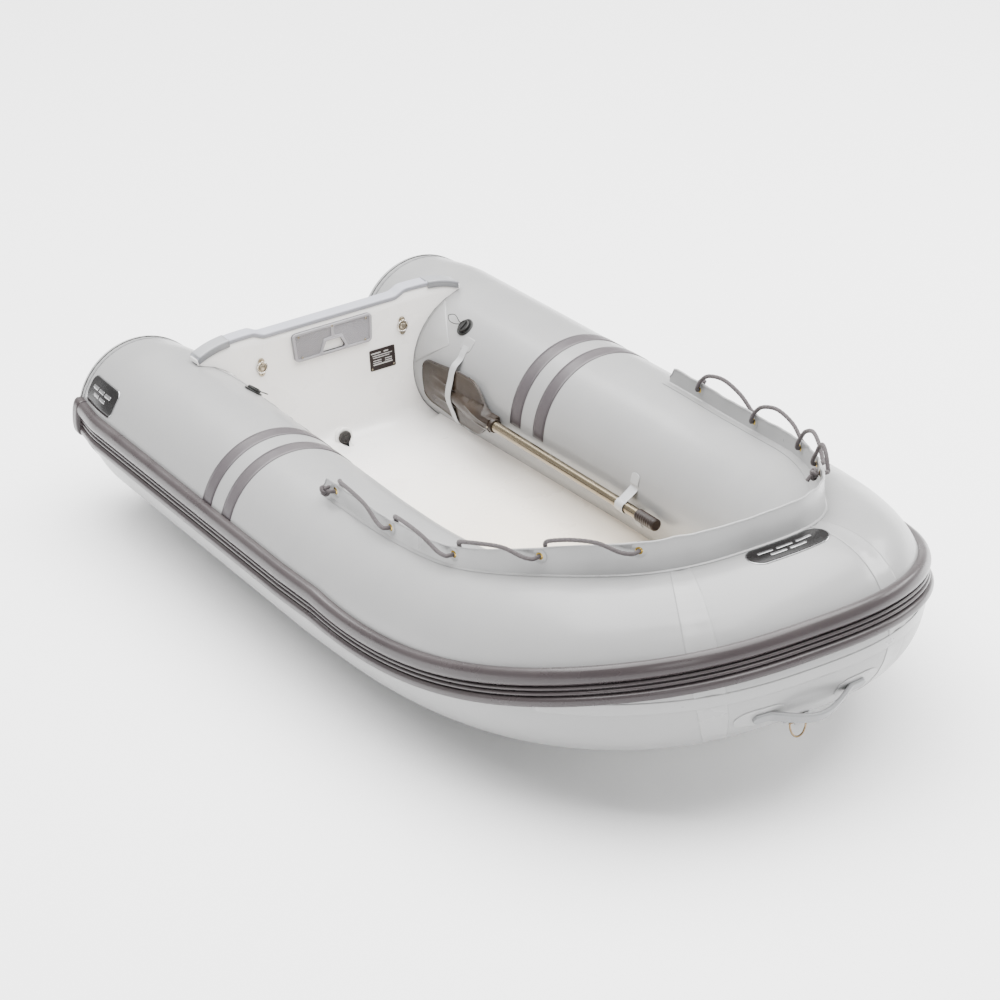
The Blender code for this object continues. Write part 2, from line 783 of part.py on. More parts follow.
def transom_knots():
    """The transom's top edge from the middle to one tip: (y, height above the keel)."""
    tip = transom_tip()
    start, ramp = TRANSOM_WING_START, TRANSOM_WING_RAMP
    wing = TRANSOM_TOP + TRANSOM_WING
    slope = tip - start - ramp
    knots = [(0.0, TRANSOM_TOP), (0.5 * start, TRANSOM_TOP), (start, TRANSOM_TOP)]
    knots += [(start + ramp * share, TRANSOM_TOP + TRANSOM_WING * rise) for share, rise in ((0.3, 0.2), (0.7, 0.8))]
    for share, drop in ((0.0, 0.0), (0.30, 0.02), (0.60, 0.20), (0.82, 0.52), (1.0, 1.0)):
        knots.append((start + ramp + slope * share, wing - TRANSOM_TIP_DROP * drop))
    return knots


def floor_height():
    return facet_point(TRANSOM_FACE, LINER_LAND, LAND_GAP).z


def liner_rows():
    floor = floor_height()
    gap = 0.0024
    rows = []
    knots = transom_knots()
    knots = [(-y, z) for y, z in reversed(knots[1:])] + knots
    across = [y / transom_tip() for y, _ in knots]
    rows.append([Vector((TRANSOM_FACE, y, z - CAPPING)) for y, z in knots])
    low = floor + TRANSOM_FILLET
    high = knots[0][1] - CAPPING
    for i in range(1, 11):
        level = high + (low - high) * i / 10
        wide = tube_inner_width(TRANSOM_FACE, level, gap)
        rows.append([Vector((TRANSOM_FACE, t * wide, level)) for t in across])
    for i in range(1, 5):
        turn = math.radians(90 * i / 5)
        x = TRANSOM_FACE + TRANSOM_FILLET * (1 - math.cos(turn))
        level = floor + TRANSOM_FILLET * (1 - math.sin(turn))
        wide = tube_inner_width(x, level, gap)
        rows.append([Vector((x, t * wide, level)) for t in across])
    stem = facet_point(BOW, LINER_LAND, LAND_GAP)
    for s in stations(route_at_x(TRANSOM_FACE + TRANSOM_FILLET), BOW):
        if s > BOW:
            continue
        edge = facet_point(s, LINER_LAND, LAND_GAP)
        step = smooth_step(edge.x, BOW_STEP_START, stem.x)
        middle = min(floor + (stem.z - floor) * step, edge.z)
        rows.append([
            Vector((edge.x, -t * edge.y, middle + (edge.z - middle) * abs(t) ** 6)) for t in across
        ])
    return rows


def make_liner():
    liner = shell("deck_liner", liner_rows(), GLASSFIBRE, "liner_gelcoat")
    combine(liner, rod_cutter("cut_liner_drain", drain_place(), DRAIN_FLANGE + 0.0015, -0.02, 0.06))


def board_outline():
    """The transom board as seen from astern: (y, z) pairs, anticlockwise from the keel."""
    s = route_at_x(TRANSOM_FACE)
    lean = TRANSOM_BOARD * abs(FULL_HALF_BEAM - STERN_HALF_BEAM) / STRAIGHT_RUN
    bottom = GLASSFIBRE + BOARD_HULL_ROOM + lean
    flange = GLASSFIBRE + BOARD_HULL_ROOM + lean + LAND_GAP
    outer = tube_point(s, land_angle(LAND_FACETS[0]), LAND_GAP)
    slope = outer.z / (-outer.y - KEEL_FLAT)
    rise = bottom * math.sqrt(1 + slope * slope)
    half = [(0.0, bottom), (KEEL_FLAT, bottom)]
    low, high = land_angle(LAND_FACETS[0]), land_angle(LAND_FACETS[-1]) - 2.0
    for i in range(41):
        point = round_point(s, low + (high - low) * i / 40, flange)
        if point.z > rise + slope * (-point.y - KEEL_FLAT) and (i % 8 == 0 or len(half) == 2):
            half.append((-point.y, point.z))
    knots = transom_knots()
    start = half[-1][1] + 0.010
    end = knots[-1][1] - CAPPING - 0.012
    for i in range(13):
        level = start + (end - start) * i / 12
        gap = BOARD_TUBE_ROOM + 0.5 * lean
        half.append((tube_inner_width(TRANSOM_FACE - 0.5 * TRANSOM_BOARD, level, gap), level))
    half += [(y, z - CAPPING - TOUCH) for y, z in reversed(knots)]
    return half[:-1] + [(0.0, half[-1][1])] + [(-y, z) for y, z in reversed(half[1:-1])]


def make_transom_board():
    front = TRANSOM_FACE - GLASSFIBRE - TOUCH
    rings = [[Vector((x, y, z)) for y, z in board_outline()] for x in (front - TRANSOM_BOARD, front)]
    board = loft("transom_board", rings, "glassfibre")
    combine(board, rod_cutter("cut_board_drain", drain_place(), DRAIN_BORE + DRAIN_WALL + TOUCH, -0.09, 0.03))


def make_capping():
    """The trim strip along the transom's top edge."""
    front = TRANSOM_FACE + CAPPING_LIP
    back = TRANSOM_FACE - GLASSFIBRE - TOUCH - TRANSOM_BOARD - CAPPING_LIP
    edge = 0.0015
    knots = transom_knots()
    rings = []
    for y, top in [(-y, z) for y, z in reversed(knots[1:])] + knots:
        low = top - CAPPING + TOUCH
        rings.append([
            Vector((back, y, low)),
            Vector((back, y, top - edge)),
            Vector((back + edge, y, top)),
            Vector((front - edge, y, top)),
            Vector((front, y, top - edge)),
            Vector((front, y, low)),
        ])
    loft("transom_capping", rings, "trim_grey")


# ---------------------------------------------------------------- transom fittings
def face_place(y, z, proud=TOUCH):
    """On the transom's inner face, with local Z pointing forward and local Y up."""
    return axis_place((TRANSOM_FACE + proud, y, z), (1, 0, 0))


def rounded_outline(points, radius, steps=4):
    """A polygon with its corners rounded, as 2D points."""
    result = []
    count = len(points)
    for i, corner in enumerate(points):
        corner = Vector(corner)
        before = (Vector(points[i - 1]) - corner).normalized()
        after = (Vector(points[(i + 1) % count]) - corner).normalized()
        half = 0.5 * before.angle(after)
        centre = corner + (before + after).normalized() * radius / math.sin(half)
        start = corner + before * radius / math.tan(half)
        end = corner + after * radius / math.tan(half)
        for k in range(steps + 1):
            arm = (start - centre).lerp(end - centre, k / steps).normalized() * radius
            result.append(centre + arm)
    return result


def flat_plate(name, outlines, thickness, place, material, bevel=0.0):
    """A plate from flat outlines, the second and later ones being windows; its back is at place."""
    curve = bpy.data.curves.new(name, "CURVE")
    curve.dimensions = "2D"
    curve.fill_mode = "BOTH"
    curve.extrude = 0.5 * thickness
    for outline in outlines:
        spline = curve.splines.new("POLY")
        spline.points.add(len(outline) - 1)
        for slot, point in zip(spline.points, outline):
            slot.co = (point[0], point[1], 0.0, 1.0)
        spline.use_cyclic_u = True
    source = bpy.data.objects.new(name + "_outline", curve)
    bpy.context.scene.collection.objects.link(source)
    bpy.context.view_layer.update()
    evaluated = source.evaluated_get(bpy.context.evaluated_depsgraph_get())
    mesh = bpy.data.meshes.new_from_object(evaluated)
    bpy.data.objects.remove(source)
    shape = bmesh.new()
    shape.from_mesh(mesh)
    bmesh.ops.remove_doubles(shape, verts=shape.verts, dist=1e-6)
    shape.to_mesh(mesh)
    shape.free()
    mesh.transform(place @ Matrix.Translation((0, 0, 0.5 * thickness)))
    if material is None:
        return make_cutter(name, mesh)
    thing = finish_object(name, mesh, material, place.translation)
    if bevel:
        edge = thing.modifiers.new("edge", "BEVEL")
        edge.width = bevel
        edge.segments = 1
        edge.limit_method = "ANGLE"
    return thing


def make_motor_pad():
    width, height, thickness = MOTOR_PAD
    wide, high = 0.5 * width, 0.5 * height
    outline = rounded_outline([(-wide + 0.006, -high), (wide - 0.006, -high), (wide, high), (-wide, high)], 0.012)
    low_width, top_width, window = PAD_WINDOW
    middle = -PAD_WINDOW_DROP
    hole = rounded_outline(
        [
            (-0.5 * low_width, middle - 0.5 * window),
            (0.5 * low_width, middle - 0.5 * window),
            (0.5 * top_width, middle + 0.5 * window),
            (-0.5 * top_width, middle + 0.5 * window),
        ],
        0.005,
        2,
    )
    flat_plate("motor_pad", [outline, hole], thickness, face_place(0.0, MOTOR_PAD_HEIGHT), "pad_plastic", 0.002)


def make_builder_plate():
    width, height, thickness = PLATE_SIZE
    corners = [(-0.5 * width, -0.5 * height), (0.5 * width, -0.5 * height),
               (0.5 * width, 0.5 * height), (-0.5 * width, 0.5 * height)]
    flat_plate("builder_plate", [rounded_outline(corners, 0.004, 2)], thickness, face_place(*PLATE_PLACE),
               "badge_black")


def make_pad_eye(side):
    """A screwed base with a keeper, and a ring that hangs from it and folds out."""
    y = SIDES[side] * PAD_EYE_PLACE[0]
    place = face_place(y, PAD_EYE_PLACE[1])
    outline = []
    for i in range(32):
        turn = 2 * math.pi * i / 32
        reach = 0.0155 + 0.0115 * max(0.0, abs(math.sin(turn)) - 0.80) / 0.20
        outline.append((reach * math.cos(turn), reach * math.sin(turn)))
    base = flat_plate(f"pad_eye_base_{side}", [outline], 0.0025, place, "stainless")
    lift = 0.0025 + SLIP + PAD_EYE_WIRE
    boss = ((0.0, 0.001), (0.0095, 0.001), (0.0090, 0.0050), (0.0060, 0.0068), (0.0, 0.0072))
    combine(base, turned(f"add_boss_{side}", boss, place, None, 20), "UNION")
    pivot = place @ Vector((0.0, PAD_EYE_RING, lift))
    keeper = PAD_EYE_WIRE + 0.0026
    block = axis_place(pivot, (0, 1, 0))
    shape = ((0.0, -0.0035), (keeper, -0.0035), (keeper, 0.0035), (0.0, 0.0035))
    combine(base, turned(f"add_keeper_{side}", shape, block, None, 16), "UNION")
    combine(base, rod_cutter(f"cut_keeper_{side}", block, PAD_EYE_WIRE + 0.0010, -0.02, 0.02, 16))
    ring = []
    for i in range(20):
        turn = 2 * math.pi * i / 20
        ring.append(place @ Vector((PAD_EYE_RING * math.sin(turn), PAD_EYE_RING * math.cos(turn), lift)) - pivot)
    thing = make_wire(f"pad_eye_ring_{side}", ring, 2 * PAD_EYE_WIRE, "stainless", True, 1)
    thing.location = pivot


def drain_place():
    return axis_place((TRANSOM_FACE, 0.0, DRAIN_HEIGHT), (1, 0, 0))


def make_drain():
    back = -(GLASSFIBRE + TRANSOM_BOARD + 0.006)
    outer = DRAIN_BORE + DRAIN_WALL
    socket = (
        (DRAIN_BORE, back),
        (outer, back),
        (outer, 0.0170),
        (DRAIN_FLANGE, 0.0185),
        (DRAIN_FLANGE, 0.0230),
        (DRAIN_FLANGE - 0.002, 0.0245),
        (DRAIN_BORE, 0.0245),
    )
    turned("drain_socket", socket, drain_place(), "liner_gelcoat", 24)
    face = 0.0245 + TOUCH
    head = 0.0180
    plug = (
        (0.0, -0.006),
        (DRAIN_BORE - SLIP - 0.0008, -0.006),
        (DRAIN_BORE - SLIP, 0.0),
        (DRAIN_BORE - SLIP, face),
        (head, face),
        (head, face + 0.0050),
        (head - 0.0015, face + 0.0065),
        (head - 0.0035, face + 0.0065),
        (head - 0.0045, face + 0.0040),
        (0.0, face + 0.0040),
    )
    turned("drain_plug", plug, drain_place(), "black_rubber", 24)


# ---------------------------------------------------------------- valves
def make_valve(side, s, angle, tube):
    normal = tube_normal(s, angle)
    under = tube_point(s, angle)
    ends = [tube_point(s + way * VALVE_FLANGE_RADIUS, angle) for way in (-1, 1)]
    rise = max(0.0, *[(end - under).dot(normal) - VALVE_SEAT_ROOM for end in ends])
    place = axis_place(under + rise * normal, normal, route_frame(s)[1])
    combine(tube, rod_cutter(f"cut_valve_{side}", place, VALVE_BARREL_RADIUS + TOUCH, -0.03, 0.03))
    body = (
        (VALVE_BORE, -VALVE_DEPTH),
        (VALVE_BARREL_RADIUS, -VALVE_DEPTH),
        (VALVE_BARREL_RADIUS, TOUCH),
        (VALVE_FLANGE_RADIUS, TOUCH),
        (VALVE_FLANGE_RADIUS, 0.0022),
        (VALVE_FLANGE_RADIUS - 0.002, 0.0036),
        (VALVE_BORE, 0.0036),
    )
    turned(f"valve_body_{side}", body, place, "valve_black", 20)
    seat = 0.0036 + SLIP
    cap = (
        (0.0, -0.008),
        (VALVE_BORE - SLIP, -0.008),
        (VALVE_BORE - SLIP, seat),
        (VALVE_CAP_RADIUS, seat),
        (VALVE_CAP_RADIUS, seat + 0.0045),
        (VALVE_CAP_RADIUS - 0.002, seat + 0.0065),
        (0.006, seat + 0.0072),
        (0.0, seat + 0.0072),
    )
    turned(f"valve_cap_{side}", cap, place, "valve_black", 20)


# ---------------------------------------------------------------- oars
def oar_line(side):
    """Two points on an oar's axis: abreast of the blade strap and of the grip."""
    sign = SIDES[side]
    near = OAR_TIP + 0.10
    far = OAR_TIP + OAR_LENGTH + 0.10
    ends = []
    for x, clear in ((near, OAR_STANDOFF), (far, OAR_GRIP_INSET)):
        centre = route_point(route_at_x(x))
        ends.append(Vector((x, sign * (-centre.y - TUBE_RADIUS - clear), TUBE_HEIGHT)))
    return ends


def oar_place(side):
    """At the blade's tip, on the axis: local Z towards the grip, local Y up."""
    near, far = oar_line(side)
    along = (far - near).normalized()
    tip = near + along * ((OAR_TIP - near.x) / along.x)
    return axis_place(tip, along)


def blade_half_width(share):
    """Half width at a share of the blade's length from the tip."""
    tip = 0.80 + 0.20 * smooth_step(share, 0.0, 0.55)
    round_end = math.sqrt(max(1 - (1 - min(share / 0.10, 1.0)) ** 2, 0.0)) * 0.40 + 0.60
    neck = 1 - smooth_step(share, 0.62, 1.0) ** 1.3
    return max(0.5 * BLADE_WIDTH * tip * round_end * neck, SOCKET_RADIUS)


def make_oar(side):
    place = oar_place(side)
    inboard = -SIDES[side]
    across = [math.sin(0.5 * math.pi * (-1 + 2 * i / 10)) for i in range(11)]
    rings = []
    for share in (0.0, 0.03, 0.07, 0.12, 0.25, 0.4, 0.55, 0.7, 0.8, 0.88, 0.94, 1.0):
        half = blade_half_width(share)
        spine = 0.004 + (SOCKET_RADIUS - 0.004) * smooth_step(share, 0.1, 0.92)
        rise = (BLADE_SET + SOCKET_RADIUS) * smooth_step(share, 0.05, 0.92) ** 1.2
        front, back = [], []
        for t in across:
            v = t * half
            sheet = -BLADE_SET - v * v / (2 * BLADE_CURVE)
            ridge = rise * math.sqrt(max(0.0, 1 - (v / (1.25 * spine + 0.006)) ** 2))
            front.append((v, sheet + 0.5 * BLADE_THICKNESS + ridge))
            back.append((v, sheet - 0.5 * BLADE_THICKNESS - 0.25 * ridge * smooth_step(share, 0.7, 1.0)))
        ring = front + back[::-1]
        rings.append([place @ Vector((inboard * n, v, share * BLADE_LENGTH)) for v, n in ring])
    blade = loft(f"oar_blade_{side}", rings, "oar_plastic", place.translation, 50.0)
    socket = ((0.0, BLADE_LENGTH - 0.075), (SOCKET_RADIUS, BLADE_LENGTH - 0.05), (SOCKET_RADIUS, BLADE_LENGTH + 0.012),
              (0.0, BLADE_LENGTH + 0.012))
    combine(blade, turned(f"add_socket_{side}", socket, place, None, 20), "UNION")
    floor = BLADE_LENGTH + 0.012 - SOCKET_DEPTH
    combine(blade, rod_cutter(f"cut_socket_{side}", place, SHAFT_RADIUS + TOUCH, floor, BLADE_LENGTH + 0.05, 20))
    low = floor + TOUCH
    high = OAR_LENGTH - 0.004
    shaft = (
        (SHAFT_RADIUS - SHAFT_WALL, low),
        (SHAFT_RADIUS, low),
        (SHAFT_RADIUS, high),
        (SHAFT_RADIUS - SHAFT_WALL, high),
    )
    turned(f"oar_shaft_{side}", shaft, place, "oar_metal", 20)
    grip = (
        (0.0, high + TOUCH),
        (SHAFT_RADIUS + TOUCH, high + TOUCH),
        (SHAFT_RADIUS + TOUCH, OAR_LENGTH - GRIP_LENGTH),
        (GRIP_RADIUS, OAR_LENGTH - GRIP_LENGTH),
        (GRIP_RADIUS, OAR_LENGTH - 0.003),
        (GRIP_RADIUS - 0.003, OAR_LENGTH),
        (0.0, OAR_LENGTH),
    )
    turned(f"oar_grip_{side}", grip, place, "grip_brown", 20)


def ribbon(name, points, normals, width_vector, thickness, material):
    """A strap of even width and thickness along points, each with its outward normal."""
    rings = []
    for point, normal in zip(points, normals):
        lift = normal * 0.5 * thickness
        half = 0.5 * width_vector
        rings.append([point - lift - half, point - lift + half, point + lift + half, point + lift - half])
    return loft(name, rings, material)


def strap_path(side, s, offsets):
    """Points over the tube's inner side at angles, each proud by its offset, and their normals."""
    s = on_side(s, side)
    points = [tube_point(s, angle, proud) for angle, proud in offsets]
    normals = []
    for i in range(len(points)):
        run = (points[min(i + 1, len(points) - 1)] - points[max(i - 1, 0)]).normalized()
        forward = route_frame(s)[1]
        normal = run.cross(forward).normalized()
        if normal.dot(tube_normal(s, offsets[i][0])) < 0:
            normal = -normal
        normals.append(normal)
    return points, normals


def oar_stand(side, s):
    """How far the oar's axis stands off the tube at s, and how far it leans from the tube."""
    centre, forward, _, _ = route_frame(on_side(s, side))
    near, far = oar_line(side)
    axis_point = near.lerp(far, (centre.x - near.x) / (far.x - near.x))
    gap = abs(centre.y) - abs(axis_point.y) - tube_radius(s)
    return gap, abs(forward.cross((far - near).normalized()).z)


def blade_edge_rise(gap):
    """How far the blade's edges stand proud of the tube, from the tube's centre."""
    half = 0.5 * BLADE_WIDTH
    sheet = TUBE_RADIUS + gap - BLADE_SET - half * half / (2 * BLADE_CURVE) + 0.5 * BLADE_THICKNESS
    return math.hypot(sheet, half) - TUBE_RADIUS


def make_blade_strap(side):
    start, width = BLADE_STRAP
    low = TOUCH + 0.5 * STRAP_THICKNESS
    gap, lean = oar_stand(side, start + 0.5 * width)
    over = blade_edge_rise(gap) + 2 * width * lean + STRAP_OVER_BLADE - TOUCH
    edge = STRAP_PLATEAU * 0.5 * BLADE_WIDTH / TUBE_RADIUS
    foot = math.radians(180 + LINER_LAND) - STRAP_ABOVE_LINER / TUBE_RADIUS
    offsets = []
    for angle in (142, 146, 150, 153, 157, 162, 168, 174, 180, 186, 192, 198, 203, 207, 210, 214, 217):
        away = abs(angle - 180)
        bump = 1 - smooth_step(away, 20.0, 31.0)
        spine = 1 - smooth_step(away, 0.0, 14.0)
        turn = math.radians(angle - 180)
        if away > 20.0:
            beyond = (away - 20.0) / 17.0
            turn = edge + beyond * (foot - edge) if turn > 0 else -edge * away / 20.0
        else:
            turn = edge * turn / math.radians(20.0)
        offsets.append((180 + math.degrees(turn), low + over * bump + 0.0075 * spine))
    middle = start + 0.5 * width
    points, normals = strap_path(side, middle, offsets)
    forward = route_frame(on_side(middle, side))[1]
    ribbon(f"blade_strap_{side}", points, normals, forward * width, STRAP_THICKNESS, "strap_fabric")


def make_shaft_clip(side):
    """A fabric keeper wrapped round the shaft and glued to the tube above and below it."""
    start, width = SHAFT_CLIP
    middle = start + 0.5 * width
    s = on_side(middle, side)
    _, forward, outboard, up = route_frame(s)
    near, far = oar_line(side)
    axis_point = near.lerp(far, (route_point(s).x - near.x) / (far.x - near.x))
    inboard = -outboard
    thickness = 0.0020
    low = TOUCH + 0.5 * thickness
    lean = oar_stand(side, middle)[1]
    round_radius = SHAFT_RADIUS + SLIP + 0.5 * thickness + 0.5 * width * lean + CLIP_ROOM
    points = [tube_point(s, angle, low) for angle in (162, 166, 169.5)]
    for i in range(13):
        turn = math.radians(90 - 180 * i / 12)
        arm = math.cos(turn) * inboard + math.sin(turn) * up
        points.append(axis_point + round_radius * arm)
    points += [tube_point(s, angle, low) for angle in (190.5, 194, 198)]
    normals = []
    for i in range(len(points)):
        run = (points[min(i + 1, len(points) - 1)] - points[max(i - 1, 0)]).normalized()
        normal = run.cross(forward).normalized()
        if normal.dot(inboard) < 0:
            normal = -normal
        normals.append(normal)
    ribbon(f"shaft_clip_{side}", points, normals, forward * width, thickness, "strap_fabric")


# ---------------------------------------------------------------- bow fittings
def make_bow_handle():
    points, normals = [], []
    total = HANDLE_SPAN + 2 * HANDLE_FOOT
    low = TOUCH + 0.5 * HANDLE_THICKNESS
    count = 24
    for i in range(count + 1):
        along = -0.5 * total + total * i / count
        share = min(max((along + 0.5 * HANDLE_SPAN) / HANDLE_SPAN, 0.0), 1.0)
        rise = HANDLE_RISE * math.sin(math.pi * share) ** 1.2
        points.append(tube_point(BOW + along, HANDLE_ANGLE, low + rise))
    cross = Vector((math.sin(math.radians(HANDLE_ANGLE)), 0, -math.cos(math.radians(HANDLE_ANGLE))))
    for i in range(len(points)):
        run = (points[min(i + 1, count)] - points[max(i - 1, 0)]).normalized()
        normal = run.cross(cross).normalized()
        if normal.x < 0:
            normal = -normal
        normals.append(normal)
    ribbon("bow_handle", points, normals, cross * HANDLE_WIDTH, HANDLE_THICKNESS, "strap_fabric")


def make_tow_ring():
    """A glued patch with a webbing loop, and the D-shaped ring that hangs in it."""
    normal = tube_normal(BOW, TOW_RING_ANGLE)
    foot = tube_point(BOW, TOW_RING_ANGLE)
    place = axis_place(foot, normal, (0, 1, 0))
    disc = (
        (0.0, 0.0040),
        (TOW_PATCH_RADIUS, 0.0040),
        (TOW_PATCH_RADIUS, 0.0055),
        (TOW_PATCH_RADIUS - 0.002, 0.0040 + TOW_PATCH_THICKNESS),
        (0.0, 0.0040 + TOW_PATCH_THICKNESS),
    )
    patch = turned("tow_patch", disc, place, "strap_fabric", 28)
    bore = TOW_WIRE + SLIP + 0.0004
    pivot = place @ Vector((0.0, 0.0, 0.0040 + TOW_PATCH_THICKNESS + bore + 0.0004))
    across = axis_place(pivot, (0, 1, 0))
    half = 0.5 * TOW_LOOP_WIDTH
    loop = ((0.0, -half), (bore + 0.0025, -half), (bore + 0.0025, half), (0.0, half))
    combine(patch, turned("add_tow_loop", loop, across, None, 20), "UNION")
    combine(patch, rod_cutter("cut_tow_loop", across, bore, -0.05, 0.05, 16))
    wide = 0.5 * TOW_RING_WIDTH
    ring = [Vector((0.0, wide * (1 - 2 * i / 4), 0.0)) for i in range(5)]
    for i in range(13):
        turn = math.pi * (1 + i / 12)
        ring.append(Vector((0.0, wide * math.cos(turn), -0.006 + (TOW_RING_DROP - 0.006) * math.sin(turn))))
    thing = make_wire("tow_ring", ring, 2 * TOW_WIRE, "stainless", True)
    thing.location = pivot


# ---------------------------------------------------------------- build
def clear_scene():
    for thing in list(bpy.data.objects):
        bpy.data.objects.remove(thing)


def centre_on_origin():
    """Move the boat so that the middle of its length is at X = 0."""
    bpy.context.view_layer.update()
    graph = bpy.context.evaluated_depsgraph_get()
    ends = []
    for thing in PARTS.objects:
        evaluated = thing.evaluated_get(graph)
        place = evaluated.matrix_world.copy()
        reach = [(place @ vertex.co).x for vertex in evaluated.to_mesh().vertices]
        evaluated.to_mesh_clear()
        ends += [min(reach), max(reach)]
    BOAT.location.x = -0.5 * (min(ends) + max(ends))


clear_scene()
PARTS = new_collection("inflatable_tender")
CUTTERS = new_collection("cutters")
BOAT = bpy.data.objects.new("boat_frame", None)
bpy.context.scene.collection.objects.link(BOAT)
MATERIALS = {
    "tube_fabric": make_material("tube_fabric", (0.60, 0.61, 0.61), 0.38),
    "flap_fabric": make_material("flap_fabric", (0.62, 0.63, 0.63), 0.42),
    "strap_fabric": make_material("strap_fabric", (0.58, 0.59, 0.60), 0.45),
    "strake_rubber": make_material("strake_rubber", (0.16, 0.14, 0.15), 0.45),
    "badge_black": make_material("badge_black", (0.01, 0.01, 0.01), 0.25),
    "glassfibre": make_material("glassfibre", (0.80, 0.79, 0.77), 0.30),
    "liner_gelcoat": make_material("liner_gelcoat", (0.82, 0.80, 0.77), 0.30),
    "trim_grey": make_material("trim_grey", (0.55, 0.56, 0.62), 0.45),
    "pad_plastic": make_material("pad_plastic", (0.47, 0.46, 0.49), 0.50),
    "brass": make_material("brass", (0.72, 0.55, 0.18), 0.30, 1.0),
    "rope": make_material("rope", (0.36, 0.32, 0.33), 0.85),
    "valve_black": make_material("valve_black", (0.02, 0.02, 0.02), 0.40),
    "black_rubber": make_material("black_rubber", (0.02, 0.015, 0.015), 0.55),
    "stainless": make_material("stainless", (0.72, 0.70, 0.66), 0.22, 1.0),
    "oar_plastic": make_material("oar_plastic", (0.10, 0.075, 0.05), 0.42),
    "oar_metal": make_material("oar_metal", (0.55, 0.50, 0.38), 0.30, 1.0),
    "grip_brown": make_material("grip_brown", (0.06, 0.025, 0.012), 0.50),
}

STARBOARD_SEAM = BOW - MITRE_FROM_BOW
PORT_SEAM = BOW + MITRE_FROM_BOW
TUBES = {
    "starboard": make_tube("tube_starboard", 0.0, STARBOARD_SEAM - TOUCH),
    "port": make_tube("tube_port", PORT_SEAM + TOUCH, ROUTE_LENGTH),
    "bow": make_tube("tube_bow", STARBOARD_SEAM + TOUCH, PORT_SEAM - TOUCH),
}
make_baffle("baffle_starboard", STARBOARD_SEAM - 0.004)
make_baffle("baffle_port", PORT_SEAM + 0.004)
make_rub_strake()
make_flap()
make_badge("badge_bow", BOW + BOW_BADGE[0], *BOW_BADGE[1:], 0.5 * BOW_BADGE[3])
make_hull()
make_liner()
make_transom_board()
make_capping()
make_motor_pad()
make_builder_plate()
make_drain()
for SIDE in SIDES:
    make_stern_cone(f"stern_cone_{SIDE}", SIDE)
    make_stripes(SIDE)
    make_badge(f"badge_{SIDE}", on_side(STERN_BADGE[0], SIDE), stern_badge_angle(), *STERN_BADGE[1:], 0.018)
    make_grommets(SIDE)
    make_lifeline(SIDE)
    make_valve(SIDE, on_side(VALVE_PLACE[0], SIDE), VALVE_PLACE[1], TUBES[SIDE])
    make_pad_eye(SIDE)
    make_oar(SIDE)
    make_blade_strap(SIDE)
    make_shaft_clip(SIDE)
make_valve("bow", BOW, BOW_VALVE_ANGLE, TUBES["bow"])
make_bow_handle()
make_tow_ring()
centre_on_origin()
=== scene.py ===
# %% [markdown]
# # A rigid-hull tender, finished in Blender
# This boat is a glassfibre hull and liner inside a horseshoe of inflated fabric tubes. The packed model
# gives every piece its place. Here each piece gets its true surface: smooth inflated skins, glued
# bands and seams, braided rope, eyelets, oars and gelcoat. First we load the packed model, the frame.

# %% Load the frame
import json
import math

import bmesh
import bpy
import numpy as np
from mathutils import Matrix, Vector

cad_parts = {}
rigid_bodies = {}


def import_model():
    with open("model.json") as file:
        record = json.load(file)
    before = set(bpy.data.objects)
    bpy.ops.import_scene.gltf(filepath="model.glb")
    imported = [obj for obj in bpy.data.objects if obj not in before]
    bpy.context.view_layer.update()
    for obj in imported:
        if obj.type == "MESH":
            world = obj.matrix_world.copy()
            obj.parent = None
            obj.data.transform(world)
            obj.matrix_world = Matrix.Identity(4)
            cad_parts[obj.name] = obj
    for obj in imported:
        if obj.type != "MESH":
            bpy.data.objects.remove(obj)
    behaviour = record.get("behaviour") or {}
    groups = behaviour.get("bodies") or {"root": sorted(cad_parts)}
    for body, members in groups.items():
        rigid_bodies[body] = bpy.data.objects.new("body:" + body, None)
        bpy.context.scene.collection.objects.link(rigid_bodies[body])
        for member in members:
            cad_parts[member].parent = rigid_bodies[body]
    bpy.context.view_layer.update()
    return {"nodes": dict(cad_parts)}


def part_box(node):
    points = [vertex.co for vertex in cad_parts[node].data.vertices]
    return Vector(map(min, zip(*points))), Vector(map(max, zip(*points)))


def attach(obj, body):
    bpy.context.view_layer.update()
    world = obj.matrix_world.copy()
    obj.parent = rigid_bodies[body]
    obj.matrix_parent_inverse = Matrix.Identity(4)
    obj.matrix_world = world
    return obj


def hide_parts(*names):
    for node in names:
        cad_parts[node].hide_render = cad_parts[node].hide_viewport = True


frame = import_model()
SIDES = {"starboard": -1.0, "port": 1.0}
print("nodes in the frame:", len(frame["nodes"]))

# %% [markdown]
# ## The collar's route
# Nearly every piece lies on the collar, so one curve places them all: the centreline of the tube, from
# the starboard stern end, round the bow, to the port stern end. The sides are straight and flare a
# little. The bow is a superellipse, which is rounder than a box and squarer than a circle, and it rises.
# A place on the tube is a distance along the route and an angle round it: 0 outboard, 90 at the crown,
# 180 inboard. Numbers here are metres and degrees.

# %% The route
TUBE_RADIUS = 0.205
STERN_TAPER = 0.016
BOW_TUBE_RADIUS = 0.212
STERN_HALF_BEAM = 0.442
FULL_HALF_BEAM = 0.479
STRAIGHT_RUN = 1.241
BOW_REACH = 2.397
BOW_FULLNESS = 2.794
SHEER_START = 1.417
SHEER_RISE = 0.127
TUBE_HEIGHT = 0.280
TRANSOM_FACE = 0.305
LINER_THICKNESS = 0.0035
STERN_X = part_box("deck_liner")[0].x + LINER_THICKNESS - TRANSOM_FACE


def sheer_ratio(x):
    return np.clip((x - SHEER_START) / (BOW_REACH - SHEER_START), 0.0, None)


